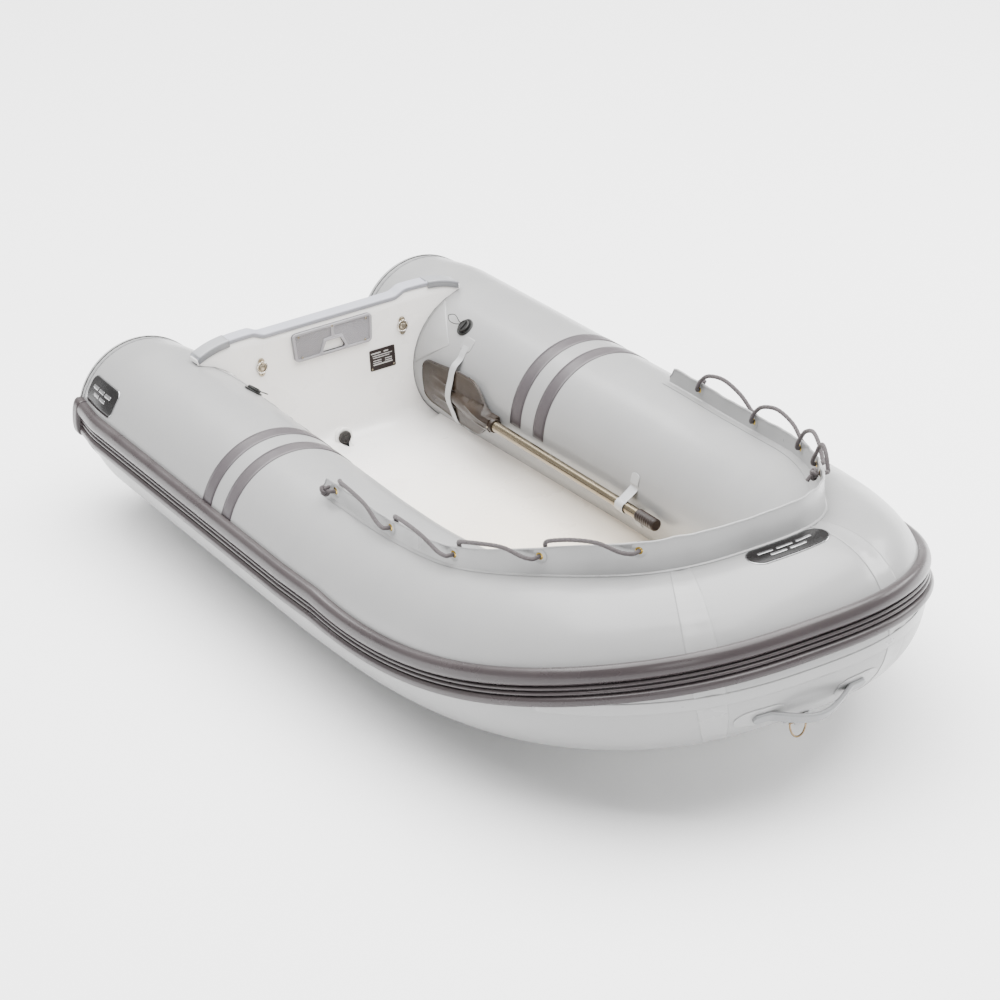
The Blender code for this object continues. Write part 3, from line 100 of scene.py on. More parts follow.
def make_route(count=1500):
    x = np.linspace(0, STRAIGHT_RUN, count, endpoint=False)
    y = STERN_HALF_BEAM + (FULL_HALF_BEAM - STERN_HALF_BEAM) * x / STRAIGHT_RUN
    turn = np.linspace(0, 0.5 * np.pi, count)
    x = np.append(x, STRAIGHT_RUN + (BOW_REACH - STRAIGHT_RUN) * np.sin(turn) ** (2 / BOW_FULLNESS))
    y = np.append(y, FULL_HALF_BEAM * np.clip(np.cos(turn), 0, 1) ** (2 / BOW_FULLNESS))
    half = np.stack([x, -y, TUBE_HEIGHT + SHEER_RISE * sheer_ratio(x) ** 2], 1)
    port = half[-2::-1] * (1, -1, 1)
    points = np.concatenate([half, port])
    lengths = np.append(0, np.cumsum(np.linalg.norm(np.diff(points, axis=0), axis=1)))
    return points, lengths


ROUTE, LENGTHS = make_route()
ROUTE_LENGTH = float(LENGTHS[-1])
BOW = 0.5 * ROUTE_LENGTH
print(f"route {ROUTE_LENGTH:.3f} m")


def route_point(s):
    s = np.clip(s, 0, ROUTE_LENGTH)
    return np.stack([np.interp(s, LENGTHS, ROUTE[:, k]) for k in range(3)], -1)


def unit(v):
    return v / np.linalg.norm(v, axis=-1, keepdims=True)


def route_frame(s, reach=0.012):
    """Centre, forward, outboard and upward directions at distances along the route."""
    s = np.asarray(s, float)
    forward = unit(route_point(s + reach) - route_point(s - reach))
    outboard = unit(np.cross(forward, (0.0, 0.0, 1.0)))
    return route_point(s), forward, outboard, np.cross(outboard, forward)


def tube_radius(s):
    full = TUBE_RADIUS + (BOW_TUBE_RADIUS - TUBE_RADIUS) * sheer_ratio(route_point(s)[..., 0])
    return full - STERN_TAPER * (1 - blend_step(np.minimum(s, ROUTE_LENGTH - np.asarray(s)), 0.0, 0.17))


def tube_point(s, angle, proud=0.0):
    """Points on the tube, in the row frame. All three may be arrays of one shape."""
    s, angle, proud = np.broadcast_arrays(np.asarray(s, float), angle, proud)
    centre, _, outboard, up = route_frame(s)
    turn = np.radians(angle)[..., None]
    reach = (tube_radius(s) + proud)[..., None]
    return centre + reach * (np.cos(turn) * outboard + np.sin(turn) * up) + (STERN_X, 0, 0)


def tube_normal(s, angle):
    _, _, outboard, up = route_frame(s)
    turn = np.radians(angle)
    return math.cos(turn) * outboard + math.sin(turn) * up


def on_side(s, side):
    return s if side == "starboard" else ROUTE_LENGTH - s


def blend_step(value, low, high):
    share = np.clip((np.asarray(value, float) - low) / (high - low), 0, 1)
    return share * share * (3 - 2 * share)


# %% [markdown]
# ## Mesh helpers
# A surface that follows the tube is a grid: rows along the route, points round the tube. One helper
# turns such a grid into a mesh with a UV map in metres, so that a weave has its true size on every
# piece. Thickness comes from a Solidify modifier, and a piece that is turned on a lathe uses a grid too.

# %% Grids, lathe work and sweeps
def new_object(name, mesh, body="boat", smooth=42.0):
    mesh.shade_smooth()
    mesh.set_sharp_from_angle(angle=math.radians(smooth))
    piece = bpy.data.objects.new(name, mesh)
    bpy.context.scene.collection.objects.link(piece)
    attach(piece, body)
    return piece


def grid_mesh(name, points, uv=None, wrap=False, flip=False, caps=False):
    """A mesh from an (n, m, 3) grid. wrap joins the last column to the first."""
    rows, columns = points.shape[:2]
    index = np.arange(rows * columns).reshape(rows, columns)
    if wrap:
        index = np.concatenate([index, index[:, :1]], 1)
    a, b, c, d = index[:-1, :-1], index[1:, :-1], index[1:, 1:], index[:-1, 1:]
    faces = np.stack([a, b, c, d] if not flip else [d, c, b, a], -1).reshape(-1, 4)
    polygons = [tuple(int(k) for k in face) for face in faces]
    if caps:
        first, last = list(range(columns)), [int(k) for k in index[-1, :columns]]
        polygons += [tuple(first if not flip else first[::-1]), tuple(last[::-1] if not flip else last)]
    mesh = bpy.data.meshes.new(name)
    mesh.from_pydata([tuple(p) for p in points.reshape(-1, 3)], [], polygons)
    if uv is not None:
        if wrap:
            step = uv[:, -1:] - uv[:, -2:-1]
            uv = np.concatenate([uv, uv[:, -1:] + step], 1)
        corners = [uv[:-1, :-1], uv[1:, :-1], uv[1:, 1:], uv[:-1, 1:]]
        corners = np.stack(corners if not flip else corners[::-1], 2).reshape(-1, 2)
        layer = mesh.uv_layers.new(name="metres")
        flat = np.zeros(len(mesh.loops) * 2)
        flat[: corners.size] = corners.reshape(-1)
        layer.data.foreach_set("uv", flat)
    shape = bmesh.new()
    shape.from_mesh(mesh)
    bmesh.ops.remove_doubles(shape, verts=shape.verts, dist=2e-6)
    bmesh.ops.dissolve_degenerate(shape, edges=shape.edges, dist=1e-6)
    shape.to_mesh(mesh)
    shape.free()
    return mesh


def face_outward(mesh):
    shape = bmesh.new()
    shape.from_mesh(mesh)
    bmesh.ops.recalc_face_normals(shape, faces=shape.faces)
    shape.to_mesh(mesh)
    shape.free()


def run_lengths(path):
    """Distance along a line of points, at each point."""
    return np.append(0, np.cumsum(np.linalg.norm(np.diff(path, axis=0), axis=1)))


def thicken(piece, thickness, outward=True):
    solid = piece.modifiers.new("thickness", "SOLIDIFY")
    solid.thickness = thickness
    solid.offset = 1.0 if outward else -1.0
    return piece


def on_tube(name, s, angles, proud=0.0, thickness=0.001, outward=True, body="boat"):
    """A skin over the tube. s is (n,), angles (m,) or (n, m); proud may be (n, m)."""
    s = np.asarray(s, float)[:, None]
    angles = np.atleast_2d(np.asarray(angles, float))
    s, angles = np.broadcast_arrays(s, angles)
    points = tube_point(s, angles, proud)
    uv = np.stack([s, np.radians(angles) * TUBE_RADIUS], -1)
    piece = new_object(name, grid_mesh(name, points, uv), body)
    return thicken(piece, thickness, outward)


def place_at(origin, z_axis, y_hint=(0.0, 0.0, 1.0)):
    """A matrix whose Z is z_axis and whose Y is as near y_hint as it can be."""
    z_axis = Vector(z_axis).normalized()
    x_axis = Vector(y_hint).cross(z_axis).normalized()
    y_axis = z_axis.cross(x_axis)
    return Matrix.Translation(Vector(origin)) @ Matrix((x_axis, y_axis, z_axis)).transposed().to_4x4()


def lathe(name, profile, place, body="boat", segments=64, closed=False, smooth=42.0):
    """A turned piece from (radius, height) pairs about place's Z. closed joins the profile's ends."""
    profile = np.array(profile, float)
    if closed:
        profile = np.concatenate([profile, profile[:1]])
    turn = np.linspace(0, 2 * np.pi, segments, endpoint=False)
    ring = np.zeros((len(turn), len(profile), 3))
    ring[..., 0] = np.cos(turn)[:, None] * profile[None, :, 0]
    ring[..., 1] = np.sin(turn)[:, None] * profile[None, :, 0]
    ring[..., 2] = profile[None, :, 1]
    run = run_lengths(profile)
    uv = np.stack(np.broadcast_arrays(turn[:, None] * profile[:, 0].max(), run[None, :]), -1)
    ring = np.concatenate([ring, ring[:1]])
    uv = np.concatenate([uv, uv[:1] + (2 * np.pi * profile[:, 0].max(), 0)])
    mesh = grid_mesh(name, ring, uv)
    face_outward(mesh)
    mesh.transform(place)
    return new_object(name, mesh, body, smooth)


def smooth_curve(points, step):
    """Points about step apart on a smooth curve through the given ones (Catmull-Rom)."""
    p = np.asarray(points, float)
    p = np.concatenate([2 * p[:1] - p[1:2], p, 2 * p[-1:] - p[-2:-1]])
    result = []
    for a, b, c, d in zip(p, p[1:], p[2:], p[3:]):
        t = np.linspace(0, 1, 24, endpoint=False)[:, None]
        square = (2 * a - 5 * b + 4 * c - d) * t * t
        cube = (3 * b - a - 3 * c + d) * t**3
        result.append(0.5 * (2 * b + (c - a) * t + square + cube))
    dense = np.concatenate([*result, p[-2:-1]])
    run = run_lengths(dense)
    even = np.linspace(0, run[-1], max(int(round(run[-1] / step)), 3) + 1)
    return np.stack([np.interp(even, run, dense[:, k]) for k in range(3)], -1)


def carried_frames(path, start_side):
    """A side and an up vector at each point of a path, turned as little as possible."""
    forward = unit(np.gradient(path, axis=0))
    side = unit(np.cross(np.cross(forward[0], start_side), forward[0]))
    sides = []
    for direction in forward:
        side = unit(side - direction * np.dot(side, direction))
        sides.append(side)
    sides = np.array(sides)
    return sides, np.cross(forward, sides)


def sweep(name, path, radii, body="boat", sides=16, start_side=(0, 0, 1), closed=False):
    """A round bar along a path. radii is (n,) or (n, sides)."""
    path = np.asarray(path, float)
    across, up = carried_frames(path, np.array(start_side, float))
    turn = np.linspace(0, 2 * np.pi, sides, endpoint=False)
    radii = np.broadcast_to(np.asarray(radii, float).reshape(-1, 1) if np.ndim(radii) < 2 else radii,
                            (len(path), sides))
    ring = np.cos(turn)[None, :, None] * across[:, None] + np.sin(turn)[None, :, None] * up[:, None]
    points = path[:, None] + radii[..., None] * ring
    run = run_lengths(path)
    uv = np.stack(np.broadcast_arrays(run[:, None], (turn / (2 * np.pi))[None, :]), -1)
    if closed:
        points = np.concatenate([points, points[:1]])
        uv = np.concatenate([uv, uv[:1] + (run[-1], 0)])
    mesh = grid_mesh(name, points, uv, wrap=True, caps=not closed)
    face_outward(mesh)
    return new_object(name, mesh, body, 60.0)


print("helpers: grid, skin on the tube, lathe, curve and sweep")

# %% [markdown]
# ## Shader groups
# Four effects turn up on many materials, so each is a node group with named sockets: a slow mottle that
# shifts colour and gloss, the fine weave of coated fabric, hair-line scratches, and dust that settles
# on faces that look up. A group gives out masks and heights. The Principled shader stays in each material.

# %% Node groups
def new_group(name, inputs, outputs):
    group = bpy.data.node_groups.new(name, "ShaderNodeTree")
    for label, kind, value in inputs:
        socket = group.interface.new_socket(name=label, in_out="INPUT", socket_type=kind)
        if value is not None:
            socket.default_value = value
    for label, kind in outputs:
        group.interface.new_socket(name=label, in_out="OUTPUT", socket_type=kind)
    return group, group.nodes.new("NodeGroupInput"), group.nodes.new("NodeGroupOutput")


def math_node(tree, operation, first, second=None, clamp=False):
    node = tree.nodes.new("ShaderNodeMath")
    node.operation = operation
    node.use_clamp = clamp
    for socket, value in zip(node.inputs, (first, second)):
        if value is None:
            continue
        if isinstance(value, (int, float)):
            socket.default_value = value
        else:
            tree.links.new(value, socket)
    return node.outputs[0]


def build_mottle_group():
    group, given, result = new_group(
        "slow_mottle",
        [("Vector", "NodeSocketVector", None), ("Scale", "NodeSocketFloat", 4.0),
         ("Low", "NodeSocketFloat", 0.0),
         ("High", "NodeSocketFloat", 1.0)],
        [("Value", "NodeSocketFloat")],
    )
    noise = group.nodes.new("ShaderNodeTexNoise")
    noise.inputs["Detail"].default_value = 5.0
    noise.inputs["Roughness"].default_value = 0.6
    spread = group.nodes.new("ShaderNodeMapRange")
    spread.inputs["From Min"].default_value = 0.3
    spread.inputs["From Max"].default_value = 0.7
    group.links.new(given.outputs["Vector"], noise.inputs["Vector"])
    group.links.new(given.outputs["Scale"], noise.inputs["Scale"])
    group.links.new(noise.outputs["Fac"], spread.inputs["Value"])
    group.links.new(given.outputs["Low"], spread.inputs["To Min"])
    group.links.new(given.outputs["High"], spread.inputs["To Max"])
    group.links.new(spread.outputs["Result"], result.inputs["Value"])
    return group


def build_weave_group():
    group, given, result = new_group(
        "fabric_weave",
        [("Vector", "NodeSocketVector", None), ("Threads", "NodeSocketFloat", 900.0)],
        [("Height", "NodeSocketFloat")],
    )
    split = group.nodes.new("ShaderNodeSeparateXYZ")
    group.links.new(given.outputs["Vector"], split.inputs[0])
    waves = []
    for axis in ("X", "Y"):
        phase = math_node(group, "MULTIPLY", split.outputs[axis], given.outputs["Threads"])
        waves.append(math_node(group, "SINE", phase))
    product = math_node(group, "MULTIPLY", waves[0], waves[1])
    group.links.new(math_node(group, "MULTIPLY_ADD", product, 0.5), result.inputs["Height"])
    return group


def build_scratch_group():
    group, given, result = new_group(
        "hairline_scratches",
        [("Vector", "NodeSocketVector", None), ("Scale", "NodeSocketFloat", 30.0),
         ("Stretch", "NodeSocketFloat", 12.0),
         ("Cover", "NodeSocketFloat", 0.35)],
        [("Mask", "NodeSocketFloat")],
    )
    split = group.nodes.new("ShaderNodeSeparateXYZ")
    join = group.nodes.new("ShaderNodeCombineXYZ")
    noise = group.nodes.new("ShaderNodeTexNoise")
    noise.inputs["Detail"].default_value = 8.0
    noise.inputs["Roughness"].default_value = 0.7
    group.links.new(given.outputs["Vector"], split.inputs[0])
    group.links.new(math_node(group, "DIVIDE", split.outputs["X"], given.outputs["Stretch"]),
                    join.inputs["X"])
    group.links.new(split.outputs["Y"], join.inputs["Y"])
    group.links.new(split.outputs["Z"], join.inputs["Z"])
    group.links.new(join.outputs[0], noise.inputs["Vector"])
    group.links.new(given.outputs["Scale"], noise.inputs["Scale"])
    low = math_node(group, "SUBTRACT", 1.0, given.outputs["Cover"])
    line = math_node(group, "SUBTRACT", noise.outputs["Fac"], math_node(group, "MULTIPLY", low, 0.75))
    group.links.new(math_node(group, "MULTIPLY", line, 6.0, clamp=True), result.inputs["Mask"])
    return group


def build_dust_group():
    group, given, result = new_group(
        "settled_dust",
        [("Vector", "NodeSocketVector", None), ("Amount", "NodeSocketFloat", 0.2)],
        [("Mask", "NodeSocketFloat")],
    )
    geometry = group.nodes.new("ShaderNodeNewGeometry")
    split = group.nodes.new("ShaderNodeSeparateXYZ")
    noise = group.nodes.new("ShaderNodeTexNoise")
    noise.inputs["Scale"].default_value = 9.0
    noise.inputs["Detail"].default_value = 6.0
    group.links.new(geometry.outputs["Normal"], split.inputs[0])
    group.links.new(given.outputs["Vector"], noise.inputs["Vector"])
    upward = math_node(group, "MULTIPLY", split.outputs["Z"], noise.outputs["Fac"], clamp=True)
    group.links.new(math_node(group, "MULTIPLY", upward, given.outputs["Amount"]), result.inputs["Mask"])
    return group


MOTTLE = build_mottle_group()
WEAVE = build_weave_group()
SCRATCHES = build_scratch_group()
DUST = build_dust_group()
print("groups:", [group.name for group in (MOTTLE, WEAVE, SCRATCHES, DUST)])

# %% [markdown]
# ## Materials
# A finish class wraps one material while we build it: it holds the tree, the Principled shader and the
# coordinates. Colour is mixed by the mottle, gloss varies with it, and a Bump node carries weave or grain.

# %% A small kit for finishes
class Finish:
    def __init__(self, name, colour, roughness, metallic=0.0, use_uv=False, **sockets):
        self.material = bpy.data.materials.new(name)
        self.material.use_nodes = True
        self.tree = self.material.node_tree
        self.shader = self.tree.nodes["Principled BSDF"]
        self.shader.inputs["Base Color"].default_value = (*colour, 1)
        self.shader.inputs["Roughness"].default_value = roughness
        self.shader.inputs["Metallic"].default_value = metallic
        for label, value in sockets.items():
            self.shader.inputs[label.replace("_", " ")].default_value = value
        where = self.tree.nodes.new("ShaderNodeTexCoord")
        self.vector = where.outputs["UV" if use_uv else "Object"]
        self.colour = colour
        self.height = None

    def link(self, source, target):
        self.tree.links.new(source, target)

    def group(self, group, **values):
        node = self.tree.nodes.new("ShaderNodeGroup")
        node.node_tree = group
        self.link(self.vector, node.inputs["Vector"])
        for label, value in values.items():
            node.inputs[label].default_value = value
        return node.outputs[0]

    def mix(self, mask, first, second):
        node = self.tree.nodes.new("ShaderNodeMix")
        node.data_type = "RGBA"
        self.link(mask, node.inputs[0])
        for socket, value in zip((node.inputs[6], node.inputs[7]), (first, second)):
            if isinstance(value, tuple):
                socket.default_value = (*value, 1)
            else:
                self.link(value, socket)
        return node.outputs[2]

    def vary(self, other, scale=3.0, rough=(0.3, 0.45)):
        """Mottle the colour towards another and the roughness between two values."""
        mottle = self.group(MOTTLE, Scale=scale)
        self.base = self.mix(mottle, self.colour, other)
        self.link(self.base, self.shader.inputs["Base Color"])
        self.link(self.group(MOTTLE, Scale=scale * 3.1, Low=rough[0], High=rough[1]),
                  self.shader.inputs["Roughness"])
        return self

    def dusty(self, colour, amount=0.2):
        self.base = self.mix(self.group(DUST, Amount=amount), self.base, colour)
        self.link(self.base, self.shader.inputs["Base Color"])
        return self

    def bump(self, height, distance, strength=1.0):
        node = self.tree.nodes.new("ShaderNodeBump")
        node.inputs["Distance"].default_value = distance
        node.inputs["Strength"].default_value = strength
        self.link(height, node.inputs["Height"])
        if self.height is not None:
            self.link(self.height, node.inputs["Normal"])
        self.height = node.outputs["Normal"]
        self.link(self.height, self.shader.inputs["Normal"])
        return self

    def noise(self, scale, detail=4.0):
        node = self.tree.nodes.new("ShaderNodeTexNoise")
        node.inputs["Scale"].default_value = scale
        node.inputs["Detail"].default_value = detail
        self.link(self.vector, node.inputs["Vector"])
        return node.outputs["Fac"]

    def done(self):
        return self.material


print("finish kit:", [label for label in vars(Finish) if not label.startswith("_")])

# %% [markdown]
# ## Fabric and rubber
# Coated fabric has a slow mottle, a shallow unevenness and a fine weave under a thin clear coat. The
# strake and the bands are darker than they look, because the studio's light lifts every colour.

# %% Coated fabric and rubber
def coated_fabric(name, colour, other, rough=(0.30, 0.42), coat=0.30):
    finish = Finish(name, colour, 0.4, use_uv=True, Coat_Weight=coat, Coat_Roughness=0.16)
    finish.vary(other, 2.2, rough).dusty((0.55, 0.53, 0.50), 0.10)
    finish.bump(finish.group(MOTTLE, Scale=5.0), 0.0012, 0.35)
    return finish.bump(finish.group(WEAVE, Threads=5200.0), 0.00006, 0.6).done()


def extruded_rubber(name, colour, other, rough=(0.34, 0.5), coat=0.15):
    finish = Finish(name, colour, 0.4, use_uv=True, Coat_Weight=coat, Coat_Roughness=0.16,
                    Specular_IOR_Level=0.35)
    finish.vary(other, 3.0, rough).dusty((0.42, 0.40, 0.38), 0.10)
    finish.bump(finish.group(SCRATCHES, Scale=60.0, Stretch=25.0, Cover=0.35), 0.0001, 0.4)
    return finish.bump(finish.noise(900.0), 0.00005, 0.5).done()


TUBE_GREY = coated_fabric("tube_grey", (0.262, 0.262, 0.261), (0.240, 0.240, 0.241))
SEAM_GREY = coated_fabric("seam_tape_grey", (0.285, 0.285, 0.285), (0.265, 0.265, 0.265), (0.26, 0.36),
                          0.4)
STRAP_GREY = coated_fabric("strap_grey", (0.36, 0.363, 0.368), (0.33, 0.333, 0.338), (0.34, 0.46), 0.2)
HANDLE_GREY = coated_fabric("handle_grey", (0.185, 0.188, 0.192), (0.155, 0.158, 0.162), (0.30, 0.42),
                            0.3)
BOOT_GREY = coated_fabric("boot_grey", (0.27, 0.276, 0.29), (0.24, 0.246, 0.26), (0.30, 0.42), 0.3)
BAND_TAUPE = coated_fabric("band_taupe", (0.044, 0.035, 0.041), (0.035, 0.028, 0.033), (0.34, 0.46), 0.08)
STRAKE_TAUPE = extruded_rubber("strake_taupe", (0.028, 0.0205, 0.0225), (0.020, 0.0145, 0.016),
                               (0.24, 0.36), 0.10)
BLACK_RUBBER = extruded_rubber("black_rubber", (0.016, 0.013, 0.012), (0.03, 0.026, 0.024))
print("fabric and rubber finishes ready")

# %% [markdown]
# ## Gelcoat and plastics
# Gelcoat is smooth and glossy, and on the liner a warm painted reflection grows towards the bow. Mouldings
# are duller, with a grain.

# %% Gelcoat, plastics and prints
def gelcoat(name, colour, other, bow_reflection_tint=None):
    finish = Finish(name, colour, 0.3, Coat_Weight=0.5, Coat_Roughness=0.08)
    finish.vary(other, 1.7, (0.22, 0.36))
    # Painted reflection: from aft to the bow the base colour is mixed towards a warm tint that stands for
    # reflected light.
    if bow_reflection_tint:
        split = finish.tree.nodes.new("ShaderNodeSeparateXYZ")
        reach = finish.tree.nodes.new("ShaderNodeMapRange")
        finish.link(finish.vector, split.inputs[0])
        finish.link(split.outputs["X"], reach.inputs["Value"])
        reach.inputs["From Min"].default_value = STERN_X + 0.40
        reach.inputs["From Max"].default_value = STERN_X + 1.75
        finish.base = finish.mix(reach.outputs["Result"], finish.base, bow_reflection_tint)
    finish.dusty((0.62, 0.56, 0.48), 0.10)
    return finish.bump(finish.noise(260.0, 2.0), 0.00008, 0.35).done()


def moulded_plastic(name, colour, other, rough=(0.38, 0.52), grain=700.0, depth=0.00008, scale=9.0,
                    **sockets):
    finish = Finish(name, colour, 0.45, **sockets).vary(other, scale, rough)
    finish.bump(finish.group(SCRATCHES, Scale=45.0, Stretch=9.0, Cover=0.3), 0.00008, 0.5)
    return finish.bump(finish.noise(grain), depth, 0.6).done()


HULL_WHITE = gelcoat("hull_gelcoat", (0.80, 0.80, 0.79), (0.76, 0.76, 0.75))
# The liner's last colour is its warm painted reflection towards the bow.
LINER_WHITE = gelcoat("liner_gelcoat", (0.90, 0.88, 0.86), (0.87, 0.85, 0.825), (0.88, 0.76, 0.58))
TRIM_LILAC = moulded_plastic("trim_lilac", (0.36, 0.365, 0.41), (0.33, 0.335, 0.375), (0.35, 0.5))
PAD_GREY = moulded_plastic("pad_grey", (0.32, 0.31, 0.328), (0.285, 0.276, 0.293), (0.42, 0.58), 500.0,
                           0.00012)
VALVE_BLACK = moulded_plastic("valve_black", (0.006, 0.006, 0.006), (0.014, 0.014, 0.013), (0.3, 0.45),
                              Specular_IOR_Level=0.35)
BADGE_BLACK = moulded_plastic("badge_black", (0.004, 0.004, 0.004), (0.008, 0.007, 0.007), (0.20, 0.32),
                              Specular_IOR_Level=0.22)
PLATE_BROWN = moulded_plastic("plate_brown", (0.010, 0.006, 0.006), (0.016, 0.010, 0.009), (0.3, 0.4))
PRINT_WHITE = moulded_plastic("print_white", (0.50, 0.49, 0.48), (0.42, 0.41, 0.40), (0.3, 0.4))
GRIP_BROWN = moulded_plastic("grip_brown", (0.0075, 0.0035, 0.0022), (0.014, 0.0068, 0.0042),
                             (0.32, 0.48), Specular_IOR_Level=0.35)
print("gelcoat and plastics ready")


# %% [markdown]
# ## Metals
# Each metal mixes a bright and a dull colour, and fine scratches run along it.

# %% Metals
def worked_metal(name, colour, other, rough, stretch=6.0, scale=50.0):
    finish = Finish(name, colour, rough[0], 1.0).vary(other, 14.0, rough)
    return finish.bump(finish.group(SCRATCHES, Scale=scale, Stretch=stretch, Cover=0.4), 0.00006,
                       0.5).done()


BRASS = worked_metal("eyelet_brass", (0.55, 0.40, 0.10), (0.34, 0.22, 0.05), (0.16, 0.34))
STAINLESS = worked_metal("stainless", (0.74, 0.71, 0.66), (0.60, 0.56, 0.50), (0.12, 0.28))
SATIN_STEEL = worked_metal("fitting_steel", (0.40, 0.35, 0.27), (0.26, 0.22, 0.165), (0.28, 0.42))
SHAFT_METAL = worked_metal("oar_anodised", (0.235, 0.195, 0.135), (0.21, 0.175, 0.12), (0.22, 0.28),
                           90.0, 140.0)
RING_STEEL = worked_metal("ring_steel", (0.24, 0.17, 0.095), (0.15, 0.105, 0.06), (0.16, 0.28))
SILVER = worked_metal("badge_silver", (0.50, 0.50, 0.50), (0.40, 0.40, 0.41), (0.14, 0.26))
print("metals ready")

# %% [markdown]
# ## Camera, floor and light
# The camera comes first, so that each new piece can be judged from the same place. It looks down on the
# starboard bow from far away through a long lens, which keeps the tubes nearly parallel. A plain floor
# and broad, soft lamps suit a pale boat: a small lamp would burn hard spots into the glossy fabric.

# %% Camera and studio
CAMERA_YAW, CAMERA_PITCH, CAMERA_ROLL = math.radians(149.58), math.radians(25.28), math.radians(-3.70)
FLOOR_REACH = 40.0
CAMERA_PLACE = Vector((STERN_X + 10.283, -5.140, 5.330))


def make_camera():
    across = math.cos(CAMERA_PITCH)
    look = Vector((math.cos(CAMERA_YAW) * across, math.sin(CAMERA_YAW) * across, -math.sin(CAMERA_PITCH)))
    right = Vector((math.sin(CAMERA_YAW), -math.cos(CAMERA_YAW), 0))
    up = right.cross(look)
    tilt_right = math.cos(CAMERA_ROLL) * right + math.sin(CAMERA_ROLL) * up
    tilt_up = math.cos(CAMERA_ROLL) * up - math.sin(CAMERA_ROLL) * right
    lens = bpy.data.cameras.new("camera")
    lens.lens, lens.sensor_width = 161.46, 36.0
    lens.shift_x, lens.shift_y = -0.0674, -0.0404
    lens.clip_end = 100.0
    camera = bpy.data.objects.new("camera", lens)
    turn = Matrix((tilt_right, tilt_up, -look)).transposed().to_4x4()
    camera.matrix_world = Matrix.Translation(CAMERA_PLACE) @ turn
    bpy.context.scene.collection.objects.link(camera)
    bpy.context.scene.camera = camera
    return camera


def soft_lamp(name, place, target, size, power, colour=(1.0, 1.0, 1.0)):
    data = bpy.data.lights.new(name, "AREA")
    data.shape = "RECTANGLE"
    data.size, data.size_y = size
    data.energy = power
    data.color = colour
    lamp = bpy.data.objects.new(name, data)
    lamp.location = place
    lamp.rotation_euler = (Vector(target) - Vector(place)).to_track_quat("-Z", "Y").to_euler()
    bpy.context.scene.collection.objects.link(lamp)


def make_studio():
    mesh = bpy.data.meshes.new("studio_floor")
    corners = [(x * FLOOR_REACH, y * FLOOR_REACH, 0) for x, y in ((-1, -1), (1, -1), (1, 1), (-1, 1))]
    mesh.from_pydata(corners, [], [(0, 1, 2, 3)])
    floor = bpy.data.objects.new("studio_floor", mesh)
    bpy.context.scene.collection.objects.link(floor)
    paper = bpy.data.materials.new("studio_paper")
    paper.use_nodes = True
    shader = paper.node_tree.nodes["Principled BSDF"]
    shader.inputs["Base Color"].default_value = (0.94, 0.94, 0.94, 1)
    shader.inputs["Roughness"].default_value = 0.9
    mesh.materials.append(paper)
    world = bpy.data.worlds.new("studio_world")
    world.use_nodes = True
    background = world.node_tree.nodes["Background"]
    background.inputs["Color"].default_value = (1.0, 1.0, 1.0, 1)
    background.inputs["Strength"].default_value = 0.9
    bpy.context.scene.world = world
    soft_lamp("overhead", (-0.5, 0.6, 8.0), (0.0, 0.0, 0.2), (14.0, 12.0), 4600.0)
    soft_lamp("bow_fill", (5.2, -3.4, 2.6), (0.6, 0.0, 0.2), (2.4, 1.6), 50.0)
    soft_lamp("port_edge", (0.8, 5.0, 2.4), (0.0, 0.2, 0.3), (3.6, 1.0), 130.0)


make_camera()
make_studio()
print("camera at", [round(v, 3) for v in CAMERA_PLACE])

# %% [markdown]
# ## Inflated tubes
# The collar is coated polyester, glued up from flat sheets and blown tight. Each chamber is a grid with
# many sides, so that its outline is smooth from every angle. Near a glued joint the fabric can't stretch
# as it does elsewhere, so the radius dips a little there and fine puckers run away from the seam.

# %% Tube skins
MITRE_FROM_BOW = 0.185
MITRES = (BOW - MITRE_FROM_BOW, BOW + MITRE_FROM_BOW)


def stations(start, end, step=0.02):
    return np.linspace(start, end, max(int(round((end - start) / step)), 1) + 1)


def dress(piece, material, *nodes, slot=None):
    """Give a piece its finish and hide the packed nodes it stands for; slot is not used."""
    piece.data.materials.clear()
    piece.data.materials.append(material)
    if nodes:
        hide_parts(*nodes)
    return piece


def repaint(node, material):
    """A new finish for a packed piece that keeps its own mesh."""
    for slot in frame["nodes"][node].material_slots:
        slot.material = material


def seam_dip(s, angle):
    """How far the skin is drawn in near the glued joints, with puckers across them."""
    dip = np.zeros(np.broadcast(s, angle).shape)
    for seam in (*MITRES, 0.0, ROUTE_LENGTH):
        near = np.exp(-(((s - seam) / 0.016) ** 2))
        spread = np.exp(-(((s - seam) / 0.055) ** 2))
        dip += 0.0022 * near + 0.00035 * spread * np.sin(
            np.radians(angle) * 46 + 3 * np.sin(np.radians(angle) * 5))
    return -dip


def make_tube(name, node, start, end):
    close = 0.04
    s = np.concatenate([
        np.linspace(start, start + close, 8)[:-1],
        stations(start + close, end - close),
        np.linspace(end - close, end, 8)[1:],
    ])[:, None]
    angles = np.linspace(0, 360, 144, endpoint=False)[None, :]
    points = tube_point(s, angles, seam_dip(s, angles))
    uv = np.stack(np.broadcast_arrays(s, np.radians(angles) * TUBE_RADIUS), -1)
    return dress(new_object(name, grid_mesh(name, points, uv, wrap=True)), TUBE_GREY, node)


make_tube("chamber_starboard", "tube_starboard", 0.0, MITRES[0])
make_tube("chamber_bow", "tube_bow", MITRES[0], MITRES[1])
make_tube("chamber_port", "tube_port", MITRES[1], ROUTE_LENGTH)
for side in SIDES:
    repaint(f"baffle_{side}", TUBE_GREY)
print("three chambers,", round(ROUTE_LENGTH, 2), "m along the middle")


# %% [markdown]
# ## Tape, lap seams and stern cones
# A flat strip of the same fabric is glued over each joint. It is a skin a few tenths of a millimetre
# proud, which catches a thin line of light along each edge. Two run round the bow at the joints between
# chambers, one runs lengthwise below the strake, and a narrow dark ring ends each tube. The stern cone is
# a moulding: a shoulder, a step and a short cone, so it is turned on a lathe.

# %% Seams and cones
SEAM_TAPE = 0.044
LAP_SEAM = (-10.5, -1.5)


